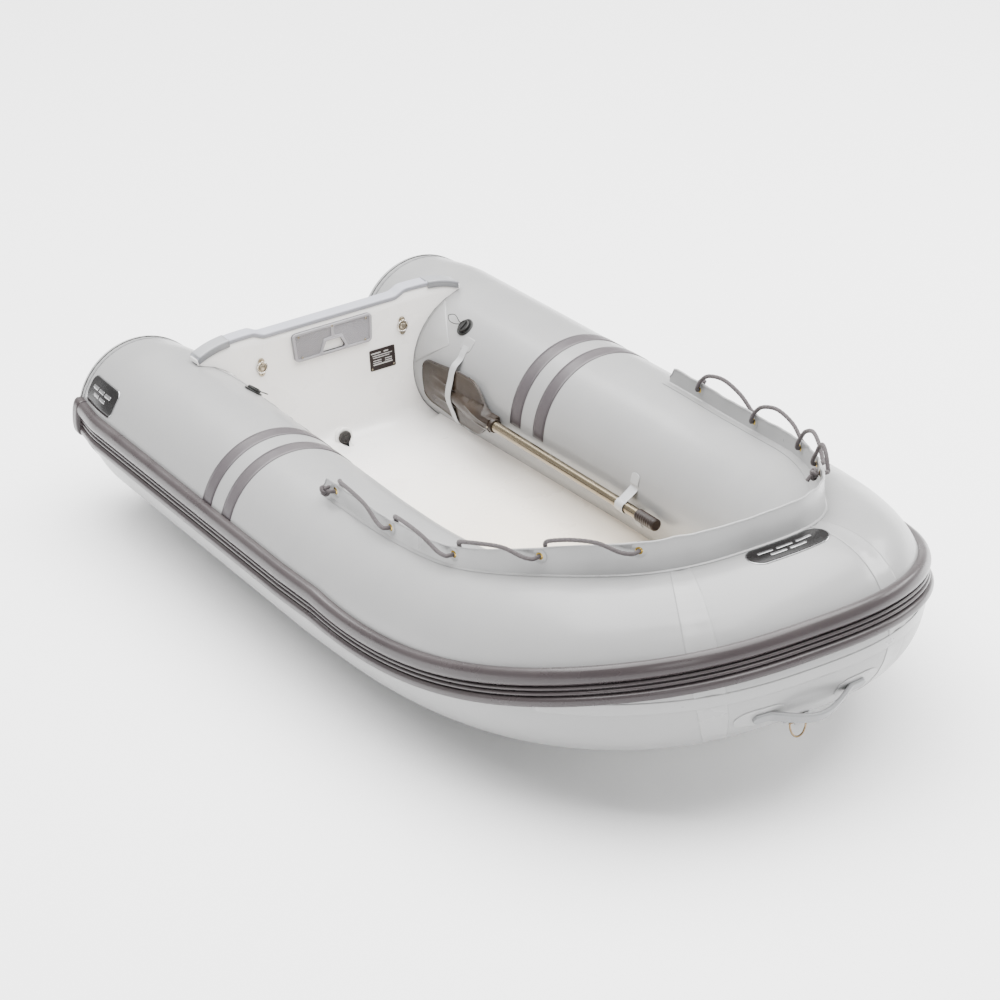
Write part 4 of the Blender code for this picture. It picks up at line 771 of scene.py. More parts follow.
def make_seams():
    for side, seam in zip(("starboard", "port"), MITRES):
        s = stations(seam - 0.5 * SEAM_TAPE, seam + 0.5 * SEAM_TAPE, 0.003)
        angles = np.linspace(-150, 208, 160)[None, :]
        proud = seam_dip(s[:, None], angles) + 0.0003
        dress(on_tube(f"seam_tape_{side}", s, angles, proud, 0.0006), SEAM_GREY, slot="tube_fabric")
        end = on_side(0.016, side)
        ring = on_tube(f"tube_end_ring_{side}", [end - 0.0025, end, end + 0.0025],
                       np.linspace(0, 360, 145), 0.0002, 0.0005)
        dress(ring, HANDLE_GREY, slot="tube_fabric")
    s = stations(MITRES[0] - 0.30, MITRES[1] + 0.30)
    lap = on_tube("lap_seam_bow", s, np.linspace(*LAP_SEAM, 9), 0.0004, 0.0006)
    dress(lap, SEAM_GREY, slot="tube_fabric")


def make_cone(side):
    s = on_side(0.0, side)
    centre, forward, _, _ = route_frame(s)
    aft = -forward if side == "starboard" else forward
    reach, step, end = 0.085, 0.158, 0.100
    turn = np.radians(np.linspace(0, 90, 14))
    shoulder = np.stack([step + (TUBE_RADIUS - STERN_TAPER - step) * np.cos(turn),
                         0.0003 + 0.34 * reach * np.sin(turn)], 1)
    profile = [*shoulder, (step - 0.003, 0.36 * reach), (step - 0.007, 0.41 * reach),
               (end + 0.016, 0.90 * reach),
               (end + 0.012, 0.955 * reach), (end + 0.005, 0.99 * reach), (end - 0.004, reach),
               (0.05, reach), (0, reach)]
    place = place_at(centre + (STERN_X, 0, 0), aft)
    return dress(lathe(f"cone_{side}", profile, place, segments=112), TUBE_GREY, f"stern_cone_{side}")


make_seams()
for side in SIDES:
    make_cone(side)
print("seam tapes, lap seam, end rings and cones made")

# %% [markdown]
# ## Rub strake
# The strake is an extruded rubber section glued round the widest part of the collar, to take knocks. Its
# section here is read as a base with rounded ribs: a broad one on top, two narrow ones, and one below.
# Sweeping that section along the route keeps the ribs parallel all the way round the bow.

# %% Strake section and sweep
STRAKE_HALF_HEIGHT = 0.047
STRAKE_RIBS = ((0.55, 0.44, 0.0230), (-0.03, 0.105, 0.0128), (-0.29, 0.105, 0.0128),
               (-0.71, 0.27, 0.0185))
STRAKE_BASE = 0.0045


def strake_angle(s):
    ratio = sheer_ratio(route_point(s)[..., 0])
    return 5.2 - 28.3 * ratio + 40.6 * ratio * ratio


def strake_section(share):
    high = np.full(share.shape, STRAKE_BASE)
    for middle, half, top in STRAKE_RIBS:
        across = np.clip(np.abs(share - middle) / half, 0, 1)
        high = np.maximum(high, STRAKE_BASE + (top - STRAKE_BASE) * (1 - across**2.4) ** (1 / 2.4))
    return high


def make_strake():
    share = np.linspace(-1, 1, 97)
    s = stations(0.008, ROUTE_LENGTH - 0.008)[:, None]
    middle = strake_angle(s)
    wide = np.degrees(STRAKE_HALF_HEIGHT / tube_radius(s))
    face = tube_point(s, middle + share * wide, strake_section(share)[None, :])
    back_share = np.linspace(1, -1, 13)[None, :]
    back = tube_point(s, middle + back_share * wide, 0.0006)
    points = np.concatenate([face, back], 1)
    run = np.linspace(0, 0.2, points.shape[1])[None, :]
    uv = np.stack(np.broadcast_arrays(s, run), -1)
    piece = new_object("strake", grid_mesh("strake", points, uv, wrap=True, caps=True), smooth=50.0)
    return dress(piece, STRAKE_TAUPE, "rub_strake")


def make_strake_end(side):
    """A moulded cap over the end of the strake, rounded on every edge."""
    share = np.linspace(-1.05, 1.05, 41)[None, :]
    along = np.linspace(-1, 1, 25)[:, None]
    s = on_side(0.022 + 0.020 * along, side)
    round_off = (1 - np.abs(along) ** 5) ** 0.2 * (1 - np.abs(share / 1.05) ** 6) ** (1 / 3)
    points = tube_point(s, strake_angle(s) + share * np.degrees(STRAKE_HALF_HEIGHT / tube_radius(s)),
                        0.0004 + 0.0248 * round_off)
    uv = np.stack(np.broadcast_arrays(s, share * STRAKE_HALF_HEIGHT), -1)
    piece = new_object(f"strake_end_{side}", grid_mesh("strake_end", points, uv, flip=side == "port"))
    return dress(piece, STRAKE_TAUPE, slot="strake_rubber")


make_strake()
for side in SIDES:
    make_strake_end(side)
print("strake", round(2 * STRAKE_HALF_HEIGHT * 1000), "mm high")

# %% [markdown]
# ## Bands and badges
# Two bands of dark fabric cross each side tube, and three glossy badges are glued on. A badge is a
# black face on a slightly larger silver one, so the silver shows as a thin edge. The mark on it is a
# generic row of bars. Each is a grid whose rows shorten towards the ends, which rounds the corners.

# %% Bands and badges
def rounded_patch(name, s, angle, length, height, corner, proud, thickness, rows=13):
    """A patch that follows the tube, with its corners rounded to a radius."""
    flat = 0.5 * length - corner
    turn = np.radians(np.linspace(88, 0, 14))
    ends = np.concatenate([-flat - corner * np.sin(turn), np.linspace(-flat, flat, 24)[1:-1],
                           (flat + corner * np.sin(turn))[::-1]])
    past = np.clip((np.abs(ends) - flat) / corner, 0, 1)
    inset = corner * (1 - np.sqrt(1 - past**2))
    half = np.degrees((0.5 * height - inset) / float(tube_radius(np.asarray(s))))
    angles = angle + half[:, None] * np.linspace(-1, 1, rows)[None, :]
    return on_tube(name, s + ends, angles, proud, thickness)


# A badge's plain bars: middle along, middle up and length as shares of the badge, and height in
# metres on a badge 80 mm high.
BADGE_BARS = ((-0.26, 0.10, 0.20, 0.010), (-0.02, 0.10, 0.20, 0.010), (0.22, 0.10, 0.20, 0.010),
              (-0.14, -0.13, 0.20, 0.010), (0.10, -0.13, 0.20, 0.010))


def make_badge(label, node, s, angle, length, height, corner):
    rim = 0.0028
    edge = rounded_patch(f"badge_edge_{label}", s, angle, length, height, corner, 0.0004, 0.0009)
    dress(edge, SILVER, slot="badge_black")
    face = rounded_patch(f"badge_face_{label}", s, angle, length - 2 * rim, height - 2 * rim,
                         corner - rim, 0.0004, 0.0013)
    dress(face, BADGE_BLACK, node)
    share = height / 0.08
    for number, (along, low, wide, tall) in enumerate(BADGE_BARS):
        spot = angle + math.degrees(low * height / TUBE_RADIUS)
        bar = rounded_patch(f"badge_bar_{label}_{number}", s + along * length, spot, wide * length,
                            tall * share,
                            0.0045 * share, 0.0018, 0.0004, 5)
        dress(bar, SILVER, slot="badge_black")


def make_bands(side):
    low = float(strake_angle(0.0)) + math.degrees(STRAKE_HALF_HEIGHT / TUBE_RADIUS) - 1.0
    for place, start in (("aft", 0.790), ("fore", 0.900)):
        ends = sorted((on_side(start, side), on_side(start + 0.050, side)))
        band = on_tube(f"band_{place}_{side}", stations(*ends, 0.01), np.linspace(low, 176, 70), 0.0003,
                       0.0010)
        dress(band, BAND_TAUPE, f"stripe_{place}_{side}")


for side in SIDES:
    make_bands(side)
    make_badge(side, f"badge_{side}", on_side(0.125, side), 33.0, 0.185, 0.080, 0.022)
make_badge("bow", "badge_bow", BOW + 0.060, 85.4, 0.216, 0.071, 0.0350)
print("four bands and three badges")

# %% [markdown]
# ## Lifeline flap
# A folded strip of fabric stands up along the top of the collar from one side to the other and carries
# the lifelines. Its foot is glued flat, its top edge is folded over a bead, and a round patch backs each
# eyelet. The section is drawn as one closed ring of points and swept along the collar.

# %% Flap and its patches
FLAP_START = 1.200
FOOT_TOP = 0.0017
GROMMET_BELOW_TOP = 0.022
GROMMETS = {"starboard": (1.270, 1.547, 1.824, 2.100, 2.378), "port": (1.339, 1.610, 1.884, 2.100, 2.215)}
GROMMET_BORE = 0.0056


def flap_blend(s):
    return blend_step(np.minimum(s, ROUTE_LENGTH - np.asarray(s)), 1.75, 2.30)


def flap_angle(s):
    return 78.0 + 20.0 * flap_blend(s)


def flap_height(s):
    peak = sum(0.004 * np.exp(-(((np.asarray(s) - seam) / 0.022) ** 2)) for seam in MITRES)
    ends = np.minimum(np.asarray(s), ROUTE_LENGTH - np.asarray(s)) - FLAP_START
    return (0.050 + 0.032 * flap_blend(s) + peak) * (0.35 + 0.65 * blend_step(ends, 0.0, 0.030))


def flap_level(s, below_top):
    foot = tube_point(s, flap_angle(s), FOOT_TOP)
    lift = np.zeros(foot.shape)
    lift[..., 2] = 0.050 + 0.032 * flap_blend(s) - below_top
    return foot + lift


def flap_section():
    """Rows along the flap, each one section: its foot, its web, and the bead along its top."""
    s = stations(FLAP_START, ROUTE_LENGTH - FLAP_START, 0.012)
    _, _, outboard, _ = route_frame(s)
    radius = tube_radius(s)
    angle, height = flap_angle(s), flap_height(s)
    foot = tube_point(s, angle, FOOT_TOP)
    up = np.array((0.0, 0.0, 1.0))
    inner, outer = np.degrees(0.024 / radius), np.degrees(0.010 / radius)
    ripple = 0.0012 * np.sin(s * 34.0) + 0.0008 * np.sin(s * 81.0 + 1.0)
    web, bead = 0.0013, 0.0031
    columns = [tube_point(s, angle - outer, 0.0005), tube_point(s, angle, 0.0004),
               tube_point(s, angle + inner, 0.0005),
               tube_point(s, angle + inner, FOOT_TOP), foot - 0.006 * outboard + 0.0004 * up,
               foot - 0.0026 * outboard + 0.0022 * up]
    for share in (0.15, 0.4, 0.7, 1.0):
        level = foot + (share * (height - 2.4 * bead) + 0.004)[:, None] * up
        columns.append(level + (ripple * share - web)[:, None] * outboard)
    middle = foot + (height - bead)[:, None] * up + ripple[:, None] * outboard
    for turn in np.radians(np.linspace(215, -35, 13)):
        columns.append(middle + bead * math.cos(turn) * outboard + bead * math.sin(turn) * up)
    for share in (1.0, 0.7, 0.4, 0.15):
        level = foot + (share * (height - 2.4 * bead) + 0.004)[:, None] * up
        columns.append(level + (ripple * share + web)[:, None] * outboard)
    columns += [foot + 0.0026 * outboard + 0.0022 * up, foot + 0.006 * outboard + 0.0002 * up,
                tube_point(s, angle - outer, FOOT_TOP)]
    points = np.stack(columns, 1)
    run = np.linspace(0, 0.2, points.shape[1])[None, :]
    return points, np.stack(np.broadcast_arrays(s[:, None], run), -1)


def grommet_place(side, s):
    """In the flap and square to it: Z points outboard and Y up."""
    s = on_side(s, side)
    before, after = flap_level(s - 0.010, GROMMET_BELOW_TOP), flap_level(s + 0.010, GROMMET_BELOW_TOP)
    _, _, outboard, _ = route_frame(s)
    middle = 0.5 * (before + after) + (
        0.0012 * math.sin(s * 34.0) + 0.0008 * math.sin(s * 81.0 + 1.0)) * 0.7 * outboard
    return place_at(middle, np.cross(after - before, (0, 0, 1)))


def bored(piece, cutters):
    """The piece with cylinders taken out, as (place, radius, low, high), made into plain mesh."""
    for place, radius, low, high in cutters:
        shape = bmesh.new()
        bmesh.ops.create_cone(shape, cap_ends=True, segments=40, radius1=radius, radius2=radius,
                              depth=high - low)
        bmesh.ops.translate(shape, verts=shape.verts, vec=(0, 0, 0.5 * (low + high)))
        mesh = bpy.data.meshes.new("bore")
        shape.to_mesh(mesh)
        shape.free()
        mesh.transform(place)
        tool = bpy.data.objects.new("bore", mesh)
        bpy.context.scene.collection.objects.link(tool)
        step = piece.modifiers.new("bore", "BOOLEAN")
        step.object, step.operation, step.solver = tool, "DIFFERENCE", "EXACT"
    bpy.context.view_layer.update()
    result = bpy.data.meshes.new_from_object(piece.evaluated_get(bpy.context.evaluated_depsgraph_get()))
    piece.modifiers.clear()
    piece.data = result
    for tool in [thing for thing in bpy.data.objects if thing.name.startswith("bore")]:
        bpy.data.objects.remove(tool)
    return piece


def make_flap():
    points, uv = flap_section()
    flap = new_object("flap", grid_mesh("flap", points, uv, wrap=True, caps=True, flip=True), smooth=38.0)
    dress(flap, SEAM_GREY, "lifeline_flap")
    holes = [(grommet_place(side, s), GROMMET_BORE + 0.0006, -0.02, 0.02)
             for side in SIDES for s in GROMMETS[side]]
    bored(flap, holes)
    for side in SIDES:
        for number, s in enumerate(GROMMETS[side], 1):
            place = grommet_place(side, s)
            for face, sign in (("out", 1.0), ("in", -1.0)):
                low, high = sign * 0.0014, sign * 0.0022
                profile = [(0.0064, low), (0.0185, low), (0.0192, 0.5 * (low + high)), (0.0185, high),
                           (0.0064, high)]
                patch = lathe(f"eyelet_patch_{face}_{side}_{number}", profile, place, segments=48,
                              closed=True)
                dress(patch, SEAM_GREY, slot="flap_fabric")
            lip, roll = 0.0022, 0.0030
            ring = [(0.0058, -lip - 0.4 * roll), (0.0066, -lip - 0.6 * roll),
                    (0.0082, -lip - 0.45 * roll), (0.0098, -lip),
                    (0.0066, -lip + 0.0004), (0.0066, lip - 0.0004), (0.0098, lip),
                    (0.0082, lip + 0.45 * roll),
                    (0.0066, lip + 0.6 * roll), (0.0058, lip + 0.4 * roll)]
            eyelet = lathe(f"eyelet_{side}_{number}", ring, place, segments=40, closed=True, smooth=50.0)
            dress(eyelet, BRASS, f"grommet_{side}_{number}")


make_flap()
print("flap with", sum(len(v) for v in GROMMETS.values()), "eyelets")

# %% [markdown]
# ## Lifelines
# Each lifeline is one braided rope that goes in through an eyelet, over the top of the flap and on to the
# next, so it stands up in a row of low loops. It is held all the way, so it isn't a free cord. The braid
# is real shape: two sets of strands wind opposite ways, and whichever is outside lifts the surface.

# %% Braided rope, loops and knots
ROPE_RADIUS = 0.0053


def braid_radii(count, step, sides, strands=4, pitch=0.030, radius=ROPE_RADIUS):
    run = np.arange(count)[:, None] * step / pitch * 2 * np.pi
    turn = np.linspace(0, 2 * np.pi, sides, endpoint=False)[None, :]
    left, right = np.cos(strands * turn + run * 2), np.cos(strands * turn - run * 2)
    return radius * (0.97 + 0.075 * np.maximum(left, right))


def braided(name, points, material, node=None, slot=None):
    step = 0.0014
    path = smooth_curve(points, step)
    piece = sweep(name, path, braid_radii(len(path), step, 24), sides=24)
    return dress(piece, material, *([node] if node else []), slot=slot)


def rope_points(side):
    marks = GROMMETS[side]
    rise = 0.032 if side == "port" else 0.014
    top = GROMMET_BELOW_TOP + 0.0050
    route = [(marks[0] - 0.036, 0.021, -0.004), (marks[0] - 0.026, 0.020, -0.002)]
    for here, there in zip(marks, marks[1:]):
        span = there - here
        route += [
            (here - 0.014, 0.018, 0.000), (here - 0.004, 0.012, 0.000), (here, 0.003, 0.000),
            (here, -0.004, 0.000),
            (here + 0.004, -0.0115, 0.003), (here + 0.009, -0.0115, 0.015),
            (here + 0.016, -0.0040, top + 0.005),
            (here + 0.15 * span, 0.005, top + 0.60 * rise + 0.004),
            (here + 0.38 * span, 0.012, top + rise),
            (here + 0.64 * span, 0.017, top + 0.40 * rise), (here + 0.84 * span, 0.018, 0.008),
        ]
    last = marks[-1]
    route += [(last - 0.014, 0.018, 0.0), (last - 0.004, 0.012, 0.0), (last, 0.003, 0.0),
              (last, -0.006, 0.0)]
    route += [(last + 0.001, -0.016, -0.001), (last + 0.006, -0.027, -0.007),
              (last + 0.012, -0.035, -0.015)]
    return [grommet_place(side, s) @ Vector((0.0, high, out)) for s, out, high in route]


def make_knot(name, place, size=0.0043):
    t = np.linspace(0, 2 * np.pi, 260, endpoint=False)
    local = size * np.stack([np.sin(t) + 2 * np.sin(2 * t), np.cos(t) - 2 * np.cos(2 * t),
                             -1.15 * np.sin(3 * t)], 1)
    path = np.array([place @ Vector(p) for p in local])
    step = float(np.linalg.norm(path[1] - path[0]))
    piece = sweep(name, path, braid_radii(len(path), step, 20, radius=0.0044), sides=20, closed=True)
    return dress(piece, ROPE_TAUPE, slot="rope")


ROPE_FINISH = Finish("rope_taupe", (0.082, 0.068, 0.071), 0.8, use_uv=True, Sheen_Weight=0.12,
                     Sheen_Roughness=0.5)
ROPE_FINISH.vary((0.036, 0.030, 0.031), 60.0, (0.68, 0.9))
ROPE_FINISH.bump(ROPE_FINISH.group(WEAVE, Threads=2600.0), 0.0004, 0.8)
ROPE_TAUPE = ROPE_FINISH.done()


def make_lifeline(side):
    points = rope_points(side)
    braided(f"rope_{side}", points, ROPE_TAUPE, f"lifeline_{side}")
    marks = GROMMETS[side]
    first = grommet_place(side, marks[0] - 0.020) @ Vector((0, 0.0, 0.020))
    last = grommet_place(side, marks[-1]) @ Vector((0, -0.001, -0.017))
    make_knot(f"knot_first_{side}", place_at(first, route_frame(on_side(marks[0], side))[1]))
    make_knot(f"knot_last_{side}", place_at(last, route_frame(on_side(marks[-1], side))[2]))


for side in SIDES:
    make_lifeline(side)
print("lifelines threaded")

# %% [markdown]
# ## Valves
# Each chamber is filled through a screw-in valve: a black plastic body in the skin, and a cap that turns
# a quarter turn. The cap's rim is fluted for wet fingers, so its turned profile is rippled afterwards. A
# moulded leash keeps the cap from being lost.

# %% Valves
VALVES = {"starboard": (0.460, 128.0), "port": (ROUTE_LENGTH - 0.460, 128.0), "bow": (BOW, 150.0)}


def flute(piece, place, count, depth, least):
    """Ripple a turned piece's rim: vertices beyond the least radius move in and out."""
    back = place.inverted()
    for vertex in piece.data.vertices:
        local = back @ vertex.co
        reach = math.hypot(local.x, local.y)
        if reach > least:
            local.xy = local.xy * (1 + depth / reach * math.cos(count * math.atan2(local.y, local.x)))
            vertex.co = place @ local
    return piece


def rounded_bar(name, place, size, body="boat", bevel=0.25):
    """A block with every edge rounded; size is (x, y, z), and its back face is at z = 0."""
    shape = bmesh.new()
    bmesh.ops.create_cube(shape, size=1.0)
    bmesh.ops.scale(shape, verts=shape.verts, vec=size)
    bmesh.ops.bevel(shape, geom=shape.edges[:], offset=bevel * min(size), segments=4, affect="EDGES",
                    profile=0.5)
    bmesh.ops.translate(shape, verts=shape.verts, vec=(0, 0, 0.5 * size[2]))
    mesh = bpy.data.meshes.new(name)
    shape.to_mesh(mesh)
    shape.free()
    mesh.transform(place)
    return new_object(name, mesh, body)


def make_valve(side, s, angle):
    place = place_at(tube_point(s, angle), tube_normal(s, angle), route_frame(s)[1])
    body = [(0.0137, -0.026), (0.0195, -0.026), (0.0195, 0.0002), (0.0255, 0.0002), (0.0262, 0.0010),
            (0.0262, 0.0021),
            (0.0250, 0.0031), (0.0232, 0.0034), (0.0222, 0.0026), (0.0208, 0.0026), (0.0202, 0.0038),
            (0.0137, 0.0038)]
    dress(lathe(f"valve_seat_{side}", body, place, segments=72, closed=True), VALVE_BLACK,
          f"valve_body_{side}")
    cap = [(0.0, -0.008), (0.0131, -0.008), (0.0131, 0.0041), (0.0182, 0.0041), (0.0186, 0.0048),
           (0.0186, 0.0090),
           (0.0180, 0.0102), (0.0168, 0.0108), (0.0148, 0.0108), (0.0138, 0.0092), (0.0040, 0.0088),
           (0.0, 0.0088)]
    lid = lathe(f"valve_lid_{side}", cap, place, f"valve_cap_{side}", 144)
    dress(flute(lid, place, 24, 0.00045, 0.0178), VALVE_BLACK, f"valve_cap_{side}")
    grip = rounded_bar(f"valve_grip_{side}", place @ Matrix.Translation((0, 0, 0.0084)),
                       (0.0265, 0.0042, 0.0038),
                       f"valve_cap_{side}")
    dress(grip, VALVE_BLACK, slot="valve_black")
    local = [(0.004, 0.0245, 0.0024), (0.006, 0.0320, 0.0060), (0.014, 0.0540, 0.0130),
             (0.004, 0.0700, 0.0170),
             (-0.008, 0.0560, 0.0150), (-0.008, 0.0340, 0.0115), (-0.002, 0.0200, 0.0088)]
    path = smooth_curve([place @ Vector(p) for p in local], 0.0008)
    dress(sweep(f"valve_leash_{side}", path, 0.00115, sides=10), VALVE_BLACK, slot="valve_black")


for label, (s, angle) in VALVES.items():
    make_valve(label, s, angle)
print("valves:", list(VALVES))

# %% [markdown]
# ## Hull, liner and transom
# The hull and its inner liner are glassfibre mouldings, with a sprayed gelcoat face. The liner is one
# skin: it comes down the transom, turns through a broad fillet into the floor, and lands on the tubes at
# both sides. It is a grid of rows athwartships, and the same rows run up the rising bow of the boat.

# %% Hull and liner
LINER_LAND = -138.5
LINER_GAP = 0.0010
KEEL_FLAT = 0.065
KEEL_RISE_START = 1.50
TRANSOM_BOARD = 0.036
TRANSOM_TOP = 0.518
TRANSOM_WING = 0.014
TRANSOM_TIP_DROP = 0.030
TRANSOM_TIP_INSET = 0.042
FILLET = 0.048
ROW_X = np.array((STERN_X, 0.0, 0.0))


def s_at_x(x):
    """Distance along the starboard run where the centreline reaches x from the stern ends."""
    half = ROUTE[:, 0].argmax() + 1
    return float(np.interp(x, ROUTE[:half, 0], LENGTHS[:half]))


def half_beam(x):
    return float(-route_point(np.asarray(s_at_x(x)))[1])


def inner_width(x, z, gap=0.0020):
    rise = min(max(z - TUBE_HEIGHT, -TUBE_RADIUS), TUBE_RADIUS)
    reach = math.sqrt(max((TUBE_RADIUS + gap) ** 2 - rise * rise, 0.0))
    if z > TUBE_HEIGHT:
        reach = max(reach, TRANSOM_TIP_INSET)
    return half_beam(x) - reach


TRANSOM_TIP = inner_width(TRANSOM_FACE, TRANSOM_TOP, 0.0025)


def transom_top(y):
    """The transom's top edge: level in the middle, a little higher outboard, dropping to the tips."""
    y = np.abs(np.asarray(y, float))
    rise = TRANSOM_WING * blend_step(y, 0.200, 0.240)
    drop = np.clip((y - 0.240) / (TRANSOM_TIP - 0.240), 0, 1) ** 3
    return TRANSOM_TOP + rise - TRANSOM_TIP_DROP * drop


def liner_points():
    floor = TUBE_HEIGHT + (TUBE_RADIUS + LINER_GAP) * math.sin(math.radians(LINER_LAND))
    across = np.sin(np.linspace(-0.5 * np.pi, 0.5 * np.pi, 73))
    top = transom_top(across * TRANSOM_TIP) - 0.004
    rows = [np.stack([np.full(73, TRANSOM_FACE), across * TRANSOM_TIP, top], 1)]
    low, high = floor + FILLET, TRANSOM_TOP - 0.034
    for level in np.linspace(high, low, 16):
        wide = inner_width(TRANSOM_FACE, level)
        rows.append(np.stack([np.full(73, TRANSOM_FACE), across * wide, np.full(73, level)], 1))
    for turn in np.radians(np.linspace(0, 90, 13)[1:-1]):
        x, level = TRANSOM_FACE + FILLET * (1 - math.cos(turn)), floor + FILLET * (1 - math.sin(turn))
        rows.append(np.stack([np.full(73, x), across * inner_width(x, level), np.full(73, level)], 1))
    stem = tube_point(BOW, LINER_LAND, LINER_GAP) - ROW_X
    for s in stations(s_at_x(TRANSOM_FACE + FILLET), BOW, 0.024):
        edge = tube_point(s, LINER_LAND, LINER_GAP) - ROW_X
        middle = min(floor + (stem[2] - floor) * float(blend_step(edge[0], 1.80, stem[0])), edge[2])
        up = middle + (edge[2] - middle) * np.abs(across) ** 6
        up = np.maximum(up, middle + 0.020 * np.clip((np.abs(across) - 0.80) / 0.20, 0, 1) ** 2)
        up = np.where(np.abs(across) > 0.999, edge[2], up)
        rows.append(np.stack([np.full(73, edge[0]), -across * edge[1], up], 1))
    return np.stack(rows) + ROW_X


def hull_points():
    stem = tube_point(BOW, -112.5, LINER_GAP) - ROW_X
    rows = []
    for s in stations(TRANSOM_FACE - TRANSOM_BOARD - LINER_THICKNESS, BOW, 0.024):
        land = tube_point(np.full(5, s), np.linspace(-135, -112.5, 5), LINER_GAP) - ROW_X
        corner = land[-1]
        share = min(max((corner[0] - KEEL_RISE_START) / (stem[0] - KEEL_RISE_START), 0.0), 1.0)
        keel = stem[2] * share**2.3
        flat = min(KEEL_FLAT, 0.35 * abs(corner[1]))
        edge = np.array((corner[0], -flat, keel))
        panel = [corner + (edge - corner) * t for t in np.linspace(0, 1, 10)[1:]]
        half = np.array([*land, *panel, (corner[0], 0.0, keel)])
        rows.append(np.concatenate([half, half[-2::-1] * (1, -1, 1)]))
    return np.stack(rows) + ROW_X


def drain_place():
    return place_at((STERN_X + TRANSOM_FACE, 0.0, 0.160), (1, 0, 0))


liner = new_object("liner", grid_mesh("liner", liner_points()), smooth=60.0)
thicken(liner, LINER_THICKNESS, outward=False)
dress(liner, LINER_WHITE, "deck_liner")
bored(liner, [(drain_place(), 0.0200, -0.02, 0.06)])
hull = new_object("hull", grid_mesh("hull", hull_points(), flip=True), smooth=25.0)
thicken(hull, LINER_THICKNESS, outward=False)
dress(hull, HULL_WHITE, "hull_shell")
repaint("transom_board", HULL_WHITE)
print("transom", round(2 * TRANSOM_TIP, 3), "m wide at the top")

# %% [markdown]
# ## Transom trim
# A soft lilac-grey extrusion is pushed over the transom's raw top edge. Its section is an upside-down U
# with rounded shoulders, swept from tip to tip. At each end a boot of coated fabric wraps the corner,
# and a three-cornered patch ties the transom to the tube.

# %% Capping, boots and corner patches
CAPPING_BACK = TRANSOM_FACE - LINER_THICKNESS - TRANSOM_BOARD - 0.0023
CAPPING_FRONT = TRANSOM_FACE + 0.0020


def over_edge(name, y_low, y_high, proud, drop, material, node=None, slot=None):
    """A strip folded over the transom's top edge between two distances to port."""
    y = stations(y_low, y_high, 0.006)
    top = transom_top(y) + proud
    back, front, shoulder = CAPPING_BACK - proud, CAPPING_FRONT + proud, 0.0035
    turn = np.radians(np.linspace(180, 90, 7))
    section = [(back, -drop)]
    section += [(back + shoulder + shoulder * math.cos(t),
                 -shoulder + shoulder * math.sin(t)) for t in turn]
    section += [(front - shoulder + shoulder * math.cos(t),
                 -shoulder + shoulder * math.sin(t)) for t in turn[::-1] - np.pi / 2]
    section += [(front, -drop)]
    section = np.array(section)
    points = np.zeros((len(y), len(section), 3))
    points[..., 0] = section[None, :, 0]
    points[..., 1] = y[:, None]
    points[..., 2] = top[:, None] + section[None, :, 1]
    uv = np.stack(np.broadcast_arrays(y[:, None], np.linspace(0, 0.06, len(section))[None, :]), -1)
    piece = new_object(name, grid_mesh(name, points + ROW_X, uv, flip=True), smooth=50.0)
    thicken(piece, 0.0015, outward=False)
    return dress(piece, material, *([node] if node else []), slot=slot)


def make_corner_patch(side):
    """A three-cornered fabric patch on the tube, from the transom's tip forward and down."""
    share = np.linspace(0, 1, 25)
    s = on_side(TRANSOM_FACE + 0.001 + 0.135 * share, side)
    wide = 1 - share**1.1
    angles = 146.0 + (np.linspace(-30, 26, 17)[None, :] * wide[:, None])
    patch = on_tube(f"corner_patch_{side}", s, angles, 0.0004, 0.0009, outward=True)
    return dress(patch, SEAM_GREY, slot="tube_fabric")


over_edge("capping", -TRANSOM_TIP + 0.002, TRANSOM_TIP - 0.002, 0.0, 0.012, TRIM_LILAC, "transom_capping")
for side, sign in SIDES.items():
    reach = sorted((sign * (TRANSOM_TIP - 0.004), sign * (TRANSOM_TIP - 0.100)))
    over_edge(f"corner_boot_{side}", *reach, 0.0016, 0.020, BOOT_GREY, slot="tube_fabric")
    make_corner_patch(side)
print("capping", round(CAPPING_FRONT - CAPPING_BACK, 4), "m across")

# %% [markdown]
# ## Motor pad, plate and pad-eyes
# The outboard's clamp screws bite on a moulded pad: a plate with a raised rim, two recessed fields of
# diagonal ribs, and a window for a lifting hand at the bottom. Outlines are drawn as flat curves, which
# Blender fills, extrudes and rounds in one go. The ribs are clipped to the field by simple arithmetic.

# %% Flat mouldings
def rounded_outline(points, radius, steps=6):
    result = []
    for i, corner in enumerate(points):
        corner = Vector(corner)
        before = (Vector(points[i - 1]) - corner).normalized()
        after = (Vector(points[(i + 1) % len(points)]) - corner).normalized()
        half = 0.5 * before.angle(after)
        centre = corner + (before + after).normalized() * radius / math.sin(half)
        start = corner + before * radius / math.tan(half) - centre
        end = corner + after * radius / math.tan(half) - centre
        for k in range(steps + 1):
            result.append(centre + start.lerp(end, k / steps).normalized() * radius)
    return result


